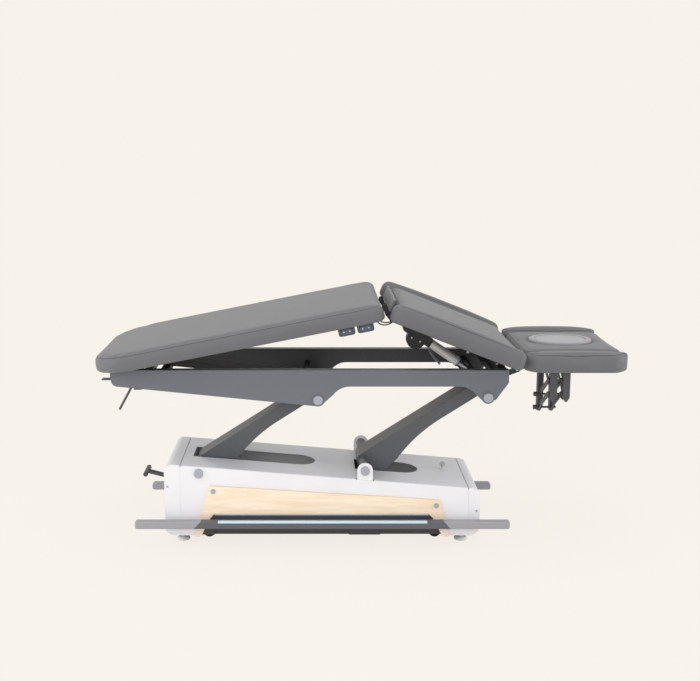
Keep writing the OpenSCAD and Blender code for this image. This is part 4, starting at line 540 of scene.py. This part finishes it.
def new_prism(name, outline, y_start, y_end):
    """A prism along Y over an outline of X and Z."""
    count = len(outline)
    points = [(x, y, z) for y in (min(y_start, y_end), max(y_start, y_end)) for x, z in outline]
    faces = [tuple(range(count)), tuple(range(2 * count - 1, count - 1, -1))]
    faces += [(k, count + k, count + (k + 1) % count, (k + 1) % count) for k in range(count)]
    mesh = bpy.data.meshes.new(name)
    mesh.from_pydata(points, [], faces)
    piece = bpy.data.objects.new(name, mesh)
    bpy.context.collection.objects.link(piece)
    activate(piece)
    bpy.ops.object.mode_set(mode="EDIT")
    bpy.ops.mesh.select_all(action="SELECT")
    bpy.ops.mesh.normals_make_consistent(inside=False)
    bpy.ops.object.mode_set(mode="OBJECT")
    return piece


def new_rod(name, radius, length, at, along, sides=24):
    clear_selection()
    turn = Vector((0, 0, 1)).rotation_difference(Vector(along)).to_euler()
    bpy.ops.mesh.primitive_cylinder_add(vertices=sides, radius=radius, depth=length, location=at,
                                        rotation=turn)
    piece = bpy.context.object
    piece.name = name
    bpy.ops.object.transform_apply(location=True, rotation=True, scale=True)
    return piece


def apply_modifier(piece, kind, **settings):
    activate(piece)
    modifier = piece.modifiers.new("work", kind)
    for key, value in settings.items():
        setattr(modifier, key, value)
    bpy.ops.object.modifier_apply(modifier=modifier.name)


def cut_away(piece, cutter):
    apply_modifier(piece, "BOOLEAN", object=cutter, operation="DIFFERENCE", solver="EXACT")
    bpy.data.objects.remove(cutter)


def copy_of_node(node, name):
    """An object of its own with the mesh of one of the table's nodes, its points merged."""
    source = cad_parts[node]
    source = bpy.data.objects[source] if isinstance(source, str) else source
    piece = bpy.data.objects.new(name, source.data.copy())
    bpy.context.collection.objects.link(piece)
    activate(piece)
    bpy.ops.object.mode_set(mode="EDIT")
    bpy.ops.mesh.select_all(action="SELECT")
    bpy.ops.mesh.remove_doubles(threshold=0.00001)
    done()
    return piece


def place(piece, matrix):
    piece.data.transform(matrix)
    piece.data.update()


def finish_piece(piece, body, material, angle=40):
    piece.data.materials.clear()
    piece.data.materials.append(material)
    activate(piece)
    bpy.ops.object.shade_smooth_by_angle(angle=math.radians(angle))
    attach(piece, body)


# Cushions. Corner radii go round in the order head far, foot far, foot near, head near.

COVER_PRESSURE = 3.5


def corner_radius(x, y, radii):
    if y > 0:
        return radii[0] if x > 0 else radii[1]
    return radii[3] if x > 0 else radii[2]


def outline_distance(x, y, half_l, half_w, radii):
    """How far a point lies inside a rounded rectangle, and how far along its outline."""
    radius = corner_radius(x, y, radii)
    qx, qy = abs(x) - (half_l - radius), abs(y) - (half_w - radius)
    outside = math.hypot(max(qx, 0), max(qy, 0)) + min(max(qx, qy), 0)
    if qx > 0 and qy > 0:
        along = half_w - radius + radius * (math.pi / 2 - math.atan2(qy, qx))
    elif qx > qy:
        along = abs(y)
    else:
        along = half_w - radius + radius * math.pi / 2 + (half_l - radius - abs(x))
    return radius - outside, along


def write_values(mesh, name, values):
    mesh.attributes.new(name, "FLOAT", "POINT").data.foreach_set("value", values)


def sew(piece, half_l, half_w, radii, seam_in, middle_z, hole=None):
    """Marks each point with its distance from the seam and its place along it."""
    distances, places = [], []
    for point in piece.data.vertices:
        inside, along = outline_distance(point.co.x, point.co.y, half_l, half_w, radii)
        d = inside - seam_in if point.co.z > middle_z else -seam_in
        if hole:
            hx, ha, hb = hole
            r = math.hypot((point.co.x - hx) / ha, point.co.y / hb)
            near_hole = (r - 1) * (ha + hb) / 2 - 0.009
            if point.co.z > middle_z and abs(near_hole) < abs(d):
                d = near_hole
                along = math.atan2(point.co.y / hb, (point.co.x - hx) / ha) * (ha + hb) / 2
        distances.append(d)
        places.append(along)
    write_values(piece.data, "seam", distances)
    write_values(piece.data, "along", places)


def swell(piece, pressure, limit, fixed_below):
    """Lets the cover of a cushion fill out under pressure, with its underside held on the board."""
    held = piece.vertex_groups.new(name="held")
    held.add([v.index for v in piece.data.vertices if v.co.z < fixed_below], 1.0, "REPLACE")
    before = [v.co.copy() for v in piece.data.vertices]
    activate(piece)
    modifier = piece.modifiers.new("fill", "CLOTH")
    cloth = modifier.settings
    cloth.quality = 4
    cloth.mass = 0.4
    cloth.tension_stiffness = 25
    cloth.compression_stiffness = 25
    cloth.bending_stiffness = 2.5
    cloth.use_pressure = True
    cloth.uniform_pressure_force = pressure
    cloth.vertex_group_mass = "held"
    cloth.effector_weights.gravity = 0
    modifier.collision_settings.use_self_collision = False
    for step in range(1, 15):
        bpy.context.scene.frame_set(step)
    bpy.ops.object.modifier_apply(modifier=modifier.name)
    for point, start in zip(piece.data.vertices, before):
        move = point.co - start
        if move.length > limit:
            point.co = start + move * (limit / move.length)
    bpy.context.scene.frame_set(1)
    piece.vertex_groups.clear()


def fit(piece, size):
    """Stretches a finished cushion to its exact size, with its underside at zero height."""
    points = piece.data.vertices
    for axis in range(3):
        low = min(p.co[axis] for p in points)
        high = max(p.co[axis] for p in points)
        start = 0.0 if axis == 2 else -size[axis] / 2
        for p in points:
            p.co[axis] = start + (p.co[axis] - low) * size[axis] / (high - low)


def cushion(name, size, radii, edge, voxel, at, matrix, body, replaces, seam_in=0.011, crown=0.004,
            limit=0.006, hole=None, room=None):
    """A foam pad under one sewn cover: rounded plan, rounded upper edge, underside tucked round its board."""
    length, width, height = size
    half_l, half_w, top = length / 2, width / 2, height - crown
    piece = new_block(name, (length, width, top), (0, 0, top / 2))
    for sx, sy, radius in ((1, 1, radii[0]), (-1, 1, radii[1]), (-1, -1, radii[2]), (1, -1, radii[3])):
        corner = Vector((sx * half_l, sy * half_w))
        edges_where(piece, lambda a, b: abs(a.z - b.z) > 0.01 and (a.xy - corner).length < 0.0001)
        bpy.ops.mesh.bevel(offset=radius, offset_type="OFFSET", segments=12, affect="EDGES")
        done()
    if hole:
        clear_selection()
        bpy.ops.mesh.primitive_cylinder_add(vertices=96, radius=1, depth=4 * height, location=(hole[0], 0, 0))
        cutter = bpy.context.object
        cutter.scale = (hole[1], hole[2], 1)
        bpy.ops.object.transform_apply(location=True, rotation=True, scale=True)
        cut_away(piece, cutter)

    def on_outline(p):
        return outline_distance(p.x, p.y, half_l, half_w, radii)[0] < 0.0008

    edges_where(piece, lambda a, b: min(a.z, b.z) > top - 0.001 and on_outline(a) and on_outline(b))
    bpy.ops.mesh.bevel(offset=edge, offset_type="OFFSET", segments=8, affect="EDGES")
    done()
    edges_where(piece, lambda a, b: max(a.z, b.z) < 0.0005 and on_outline(a) and on_outline(b))
    bpy.ops.mesh.bevel(offset=0.007, offset_type="OFFSET", segments=3, affect="EDGES")
    done()
    apply_modifier(piece, "REMESH", mode="VOXEL", voxel_size=voxel)
    apply_modifier(piece, "SMOOTH", factor=0.5, iterations=3)
    swell(piece, COVER_PRESSURE, limit, 0.004)
    for point in piece.data.vertices:
        if point.co.z > top * 0.5:
            fx = 1 - min(1, abs(point.co.x) / half_l) ** 2.5
            fy = 1 - min(1, abs(point.co.y) / half_w) ** 2.5
            point.co.z += crown * fx * fy * min(1, (point.co.z - top * 0.5) / (top * 0.5))
    apply_modifier(piece, "SMOOTH", factor=0.5, iterations=2)
    fit(piece, size)
    apply_modifier(piece, "SUBSURF", levels=1, render_levels=1)
    if room:
        low, high = (Vector(corner) - Vector(at) for corner in room)
        cutter = new_block("cutter", high - low, (low + high) / 2)
        cut_away(piece, cutter)
    sew(piece, half_l, half_w, radii, seam_in, top * 0.55, hole)
    place(piece, matrix @ Matrix.Translation(at))
    finish_piece(piece, body, M_COVER, angle=180)
    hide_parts(replaces)
    return piece


PAD = 0.056 + BOARD_T
LEG_LOW = -0.014 + 0.0004
BACK_LOW = 0.024 - BOARD_T + 0.0004
HEAD_LOW = HEAD_TOP - BOARD_T + 0.0004
HEAD_START = HINGE.x + 0.015
FACE_X = HEAD_START + 0.187

cushion("leg_pad", (1.108, 0.700, PAD), (0.046, 0.185, 0.185, 0.046), 0.026, 0.0095,
        (-0.011 - 1.108 / 2, 0, LEG_LOW), on_leg(), "leg_section", "leg_cushion", seam_in=0.014)
cushion("back_centre_pad", (0.502, 0.542, PAD - 0.002), (0.030,) * 4, 0.022, 0.008,
        (-0.012 - 0.502 / 2, 0, BACK_LOW), on_back(), "back_section", "back_pad")
for side, label in ((-1, "near"), (1, "far")):
    cushion(f"back_bolster_{label}", (0.528, 0.076, PAD + 0.007), (0.036,) * 4, 0.028, 0.006,
            (-0.010 - 0.264, side * (0.35 - 0.038), BACK_LOW), on_back(), "back_section", "back_bolsters",
            seam_in=0.019, crown=0.005, limit=0.004)
cushion("head_cushion", (0.388, 0.418, PAD), (0.044,) * 4, 0.018, 0.007,
        (HEAD_START + 0.194, 0, HEAD_LOW), Matrix.Identity(4), "head_section", "head_pad",
        seam_in=0.016, crown=0.003, limit=0.004, hole=(-0.007, 0.123, 0.1025))
for side, label, first_link in ((-1, "near", 0.846), (1, "far", 0.946)):
    corners = (0.082, 0.070, 0.022, 0.022) if side > 0 else (0.022, 0.022, 0.070, 0.082)
    across = sorted((side * 0.200, side * 0.237))
    link_room = ((first_link - 0.0145 + MID, across[0], 0.69),
                 (first_link + 0.0615 + MID, across[1], HEAD_TOP + 0.005))
    cushion(f"armrest_{label}_pad", (0.386, 0.102, PAD + 0.006), corners, 0.028, 0.006,
            (HEAD_START + 0.193, side * (0.213 + 0.051), HEAD_LOW), Matrix.Identity(4),
            f"{label}_armrest", f"armrest_{label}", seam_in=0.018, crown=0.004, limit=0.004,
            room=link_room)


def peak_flap():
    """Thin padded flap that stands at the peak end of the back section and closes its gap."""
    piece = new_block("peak_flap", (0.0116, 0.388, 0.0505), (-0.5263, 0, 0.02455 + 0.0245))
    edges_where(piece, lambda a, b: True)
    bpy.ops.mesh.bevel(offset=0.0045, offset_type="OFFSET", segments=4, affect="EDGES")
    done()
    apply_modifier(piece, "REMESH", mode="VOXEL", voxel_size=0.0028)
    apply_modifier(piece, "SMOOTH", factor=0.5, iterations=4)
    high = max(p.co.z for p in piece.data.vertices)
    points = piece.data.vertices
    write_values(piece.data, "seam", [high - p.co.z - 0.004 if p.co.x > -0.5262 else 1.0 for p in points])
    write_values(piece.data, "along", [p.co.y for p in points])
    place(piece, on_back())
    finish_piece(piece, "back_section", M_COVER, angle=180)
    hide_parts("back_pad")


peak_flap()


def face_plug():
    """Oval plug: raised rolled rim round a shallow dish."""
    clear_selection()
    bpy.ops.mesh.primitive_cylinder_add(vertices=96, radius=1, depth=0.041, location=(0, 0, 0.0225 + 0.021))
    piece = bpy.context.object
    piece.name = "face_plug_cover"
    piece.scale = (0.1224, 0.1019, 1)
    bpy.ops.object.transform_apply(location=True, rotation=True, scale=True)
    high = max(v.co.z for v in piece.data.vertices)
    low = min(v.co.z for v in piece.data.vertices)
    edges_where(piece, lambda a, b: a.z > high - 0.001 and b.z > high - 0.001)
    bpy.ops.mesh.bevel(offset=0.008, offset_type="OFFSET", segments=6, affect="EDGES")
    done()
    faces_where(piece, lambda c, n: n.z > 0.99 and c.z > high - 0.0005)
    bpy.ops.mesh.inset(thickness=0.010)
    bpy.ops.mesh.inset(thickness=0.005)
    bpy.ops.transform.translate(value=(0, 0, -0.0045))
    bpy.ops.mesh.inset(thickness=0.012)
    bpy.ops.transform.translate(value=(0, 0, 0.002))
    done()
    edges_where(piece, lambda a, b: a.z < low + 0.001 and b.z < low + 0.001)
    bpy.ops.mesh.bevel(offset=0.004, offset_type="OFFSET", segments=3, affect="EDGES")
    done()
    apply_modifier(piece, "REMESH", mode="VOXEL", voxel_size=0.003)
    apply_modifier(piece, "SMOOTH", factor=0.5, iterations=6)
    mesh = piece.data
    distances, places = [], []
    for point in mesh.vertices:
        r = math.hypot(point.co.x / 0.1224, point.co.y / 0.1019)
        distances.append((r - 0.80) * 0.112 if point.co.z > high - 0.02 else 1.0)
        places.append(math.atan2(point.co.y, point.co.x) * 0.1)
    write_values(mesh, "seam", distances)
    write_values(mesh, "along", places)
    place(piece, Matrix.Translation((FACE_X, 0, HEAD_TOP)))
    finish_piece(piece, "plug", M_PLUG, angle=180)
    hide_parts("face_plug")


face_plug()

# Cables over the peak

LEG_CABLES = [
    ("peak_cable_outer",
     [(-44, -250, -14.4), (-44.5, -250, -20), (-40, -251, -31), (-29, -252, -41), (-14, -253, -45),
      (1, -254, -43.5), (11, -255, -39.5), (16.5, -256, -33.9), (19.2, -256, -29.4)]),
    ("peak_cable_inner",
     [(-36, -232, -14.4), (-36.4, -232, -19), (-32, -233, -28), (-22, -234, -36), (-8, -235, -40),
      (5, -236, -40.5), (13, -237, -38.5), (18, -238, -34.8), (20.8, -238, -30.5)]),
]


def cable(name, points):
    data = bpy.data.curves.new(name, "CURVE")
    data.dimensions = "3D"
    line = data.splines.new("NURBS")
    line.points.add(len(points) - 1)
    for spot, p in zip(line.points, points):
        spot.co = (*(on_leg() @ Vector([c / 1000 for c in p])), 1)
    line.order_u = 4
    line.use_endpoint_u = True
    data.resolution_u = 12
    data.bevel_depth = 0.0024
    data.bevel_resolution = 4
    data.use_fill_caps = True
    piece = bpy.data.objects.new(name, data)
    bpy.context.collection.objects.link(piece)
    piece.data.materials.append(M_RUBBER)
    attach(piece, "leg_section")
    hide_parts("peak_cables")


for label, points in LEG_CABLES:
    cable(label, points)


# Base shell, dark trays painted as shade, and glowing strips painted as light

def base_shell():
    """The long cover, cut out between the legs of the wooden panels, with a ring pressed round the lock."""
    piece = copy_of_node("base_cover", "base_shell")
    outline = [(-0.478, 0.020), (0.474, 0.020), (0.432, 0.114), (0.414, 0.1285), (-0.420, 0.1285),
               (-0.438, 0.111)]
    for side in (-1, 1):
        cutter = new_prism("cutter", [(x + MID, z) for x, z in outline], side * 0.1935, side * 0.2055)
        cut_away(piece, cutter)
    finish_piece(piece, "base", M_WHITE, angle=32)
    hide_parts("base_cover")
    clear_selection()
    bpy.ops.mesh.primitive_torus_add(major_radius=0.054, minor_radius=0.0011, major_segments=96,
                                     minor_segments=10)
    ring = bpy.context.object
    ring.name = "pressed_ring"
    top = Vector((MID + 0.485, 0.028, cover_top(MID + 0.485)))
    on_cover = Matrix.Translation(top) @ Matrix.Rotation(COVER_FALL, 4, "Y")
    place(ring, on_cover @ Matrix.Diagonal((1, 1, 0.6, 1)))
    finish_piece(ring, "base", M_WHITE)


def shade_trays_and_glow_strips():
    """Dark tray in each cut-out of the cover, which is painted shade for the shadowed gap under the wooden
    panel, and a frosted strip along the outer edge of each foot bar, whose pale glow is painted light.
    """
    for side, label in ((-1, "near"), (1, "far")):
        # Painted shade: a dark blue-grey sheet stands where the gap under the wooden panel lies in shadow.
        tray = new_block(f"light_tray_{label}", (0.870, 0.0018, 0.040), (MID - 0.003, side * 0.1988, 0.1100))
        edges_where(tray, lambda a, b: True)
        bpy.ops.mesh.bevel(offset=0.0004, offset_type="OFFSET", segments=2, affect="EDGES")
        done()
        finish_piece(tray, "base", M_SHADE_TRAY)
        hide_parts("light_strips")
        lip = new_block(f"cover_lip_{label}", (0.830, 0.0022, 0.0042), (MID - 0.003, side * 0.1990, 0.1264))
        finish_piece(lip, "base", M_WHITE)
        # Painted light: a pale strip glows along each foot bar's top outer edge where the lamplight falls.
        strip = new_block(f"light_bar_{label}", (0.804, 0.0126, 0.0081),
                          (MID + 0.001, side * 0.2443, 0.11255))
        edges_where(strip, lambda a, b: min(abs(a.y), abs(b.y)) > 0.25 or abs(a.x - b.x) < 0.001)
        bpy.ops.mesh.bevel(offset=0.0022, offset_type="OFFSET", segments=5, affect="EDGES")
        done()
        finish_piece(strip, f"{label}_foot_bar", M_PAINTED_GLOW)


base_shell()
shade_trays_and_glow_strips()


# Small parts

def rocker_marks():
    """Pale arrows on the rockers: one up, one down on each."""
    for node, body in (("rocker_foot", "foot_rocker"), ("rocker_head", "head_rocker")):
        low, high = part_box(node)
        middle = (Vector(low) + Vector(high)) / 2
        for step, turn in ((-1, 0), (1, math.pi)):
            clear_selection()
            bpy.ops.mesh.primitive_cone_add(vertices=3, radius1=0.0042, radius2=0.0034, depth=0.0006)
            mark = bpy.context.object
            mark.name = f"{node}_mark_{'up' if step < 0 else 'down'}"
            edges_where(mark, lambda a, b: abs(a.z - b.z) > 0.0004)
            bpy.ops.mesh.bevel(offset=0.0006, offset_type="OFFSET", segments=3, affect="EDGES")
            done()
            face = Matrix.Rotation(turn, 4, "Y") @ Matrix.Rotation(math.radians(90), 4, "X")
            front = (middle.x, low[1] - 0.0001, middle.z)
            there = Matrix.Translation(front) @ Matrix.Rotation(-LEG_RISE, 4, "Y")
            place(mark, there @ Matrix.Translation((step * 0.011, 0, 0)) @ face)
            finish_piece(mark, body, M_MARK)


def bolt(name, body, at, along, radius=0.0045, high=0.003, material=None):
    """Button head with a round socket pressed into its top."""
    piece = new_rod(name, radius, high, (0, 0, high / 2), (0, 0, 1))
    edges_where(piece, lambda a, b: min(a.z, b.z) > high - 0.0001)
    bpy.ops.mesh.bevel(offset=high * 0.45, offset_type="OFFSET", segments=4, affect="EDGES")
    done()
    faces_where(piece, lambda c, n: n.z > 0.99 and c.z > high - 0.0002)
    bpy.ops.mesh.inset(thickness=radius * 0.2)
    bpy.ops.transform.translate(value=(0, 0, -high * 0.5))
    done()
    turn = Vector((0, 0, 1)).rotation_difference(Vector(along)).to_matrix().to_4x4()
    place(piece, Matrix.Translation(at) @ turn)
    finish_piece(piece, body, material or M_ZINC)


def channel_ends():
    """The channels' foot ends are cut down to a low tongue in front of the side plates."""
    piece = copy_of_node("slide_rails", "channel_pair")
    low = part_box("slide_rails")[0]
    cutter = new_block("cutter", (0.2, 0.6, 0.1), (-0.9389 - 0.1, 0, low[2] + 0.006 + 0.05))
    cut_away(piece, cutter)
    finish_piece(piece, "upper_frame", M_DARK, angle=32)
    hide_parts("slide_rails")


def cross_channel():
    """Dark channel between the side plates under the hinge of the head section."""
    piece = new_block("head_cross_channel", (0.043, 0.436, 0.0235), (0.6765 + MID, 0, 0.66775))
    faces_where(piece, lambda c, n: n.x > 0.9)
    bpy.ops.mesh.inset(thickness=0.003)
    bpy.ops.transform.translate(value=(-0.038, 0, 0))
    done()
    finish_piece(piece, "upper_frame", M_DEEP)


def conduit_tail():
    """Loose end of the grey hose beside the back actuator."""
    start = Vector((0.4551 + MID, -0.026, 0.6985))
    end = Vector((0.4637 + MID, -0.0275, 0.6860))
    piece = new_rod("conduit_tail", 0.0044, (end - start).length, (start + end) / 2, end - start)
    edges_where(piece, lambda a, b: (a - end).length < 0.005 and (b - end).length < 0.005)
    bpy.ops.mesh.bevel(offset=0.001, offset_type="OFFSET", segments=3, affect="EDGES")
    done()
    finish_piece(piece, "back_motor_unit", M_CONDUIT)


channel_ends()
cross_channel()
conduit_tail()
rocker_marks()
for number, (x, z) in enumerate(((0.5531, 0.7612), (0.6657, 0.7160))):
    bolt(f"back_frame_bolt_{number + 1}", "back_section", (x + MID, -0.160, z), (0, -1, 0), 0.0048, 0.0036)
for number, (x, z) in enumerate(((0.3515, 0.7919), (0.3839, 0.7772))):
    bolt(f"gear_bolt_{number + 1}", "back_motor_unit", (x + MID, -0.0265, z), (0, -1, 0), 0.0042)


# Stage and light

def ivory_stage():
    clear_selection()
    bpy.ops.mesh.primitive_plane_add(size=1)
    floor = bpy.context.object
    floor.name = "studio_floor"
    floor.scale = (40, 40, 1)
    bpy.ops.object.transform_apply(location=True, rotation=True, scale=True)
    material = bpy.data.materials.new("studio floor")
    material.use_nodes = True
    material.node_tree.nodes.clear()
    nodes = Nodes(material.node_tree)
    ivory = rgb(247, 242, 234)
    matt = nodes.add("ShaderNodeBsdfDiffuse", {"Color": ivory})
    plain = nodes.add("ShaderNodeEmission", {"Color": ivory, "Strength": 1.0})
    path = nodes.add("ShaderNodeLightPath")
    place = nodes.add("ShaderNodeTexCoord").outputs["Object"]
    away = nodes.add("ShaderNodeVectorMath", {0: place}, operation="LENGTH").outputs["Value"]
    plainness = nodes.span(away, 0.8, 2.2, 0.91, 1.0, smooth=True)
    share = nodes.math("MULTIPLY", path.outputs["Is Camera Ray"], plainness)
    mix = nodes.add("ShaderNodeMixShader", {0: share})
    nodes.tree.links.new(matt.outputs[0], mix.inputs[1])
    nodes.tree.links.new(plain.outputs[0], mix.inputs[2])
    out = nodes.add("ShaderNodeOutputMaterial")
    nodes.tree.links.new(mix.outputs[0], out.inputs[0])
    floor.data.materials.append(material)


def soft_world():
    world = bpy.data.worlds.new("studio air")
    bpy.context.scene.world = world
    world.use_nodes = True
    world.node_tree.nodes.clear()
    nodes = Nodes(world.node_tree)
    path = nodes.add("ShaderNodeLightPath")
    seen = nodes.math("MAXIMUM", path.outputs["Is Camera Ray"], path.outputs["Is Glossy Ray"])
    seen = nodes.math("MAXIMUM", seen, path.outputs["Is Transmission Ray"])
    air = nodes.add("ShaderNodeBackground", {"Color": (0.92, 0.95, 1.0, 1), "Strength": 0.78})
    shown = nodes.add("ShaderNodeBackground", {"Color": rgb(247, 242, 234), "Strength": 1.0})
    mix = nodes.add("ShaderNodeMixShader", {0: seen})
    nodes.tree.links.new(air.outputs[0], mix.inputs[1])
    nodes.tree.links.new(shown.outputs[0], mix.inputs[2])
    out = nodes.add("ShaderNodeOutputWorld")
    nodes.tree.links.new(mix.outputs[0], out.inputs[0])


def soft_lamp(name, at, aim, size, power, colour):
    data = bpy.data.lights.new(name, "AREA")
    data.shape = "RECTANGLE"
    data.size, data.size_y = size
    data.energy = power
    data.color = colour
    lamp = bpy.data.objects.new(name, data)
    bpy.context.collection.objects.link(lamp)
    lamp.location = at
    lamp.rotation_euler = (Vector(aim) - Vector(at)).to_track_quat("-Z", "Y").to_euler()
    lamp.visible_camera = False


ivory_stage()
soft_world()
soft_lamp("ceiling_softbox", (0.0, -0.6, 3.4), (0, 0, 0.4), (3.6, 2.4), 34, (1.0, 0.97, 0.93))
soft_lamp("front_softbox", (-1.0, -3.8, 1.9), (0, 0, 0.4), (3.0, 1.6), 38, (1.0, 0.99, 0.98))
for side, label in ((-1, "left"), (1, "right")):
    soft_lamp(f"{label}_softbox", (side * 3.2, -0.6, 1.2), (0, 0, 0.3), (1.6, 1.2), 22, (1.0, 0.98, 0.96))
bpy.context.scene.view_settings.view_transform = "Standard"
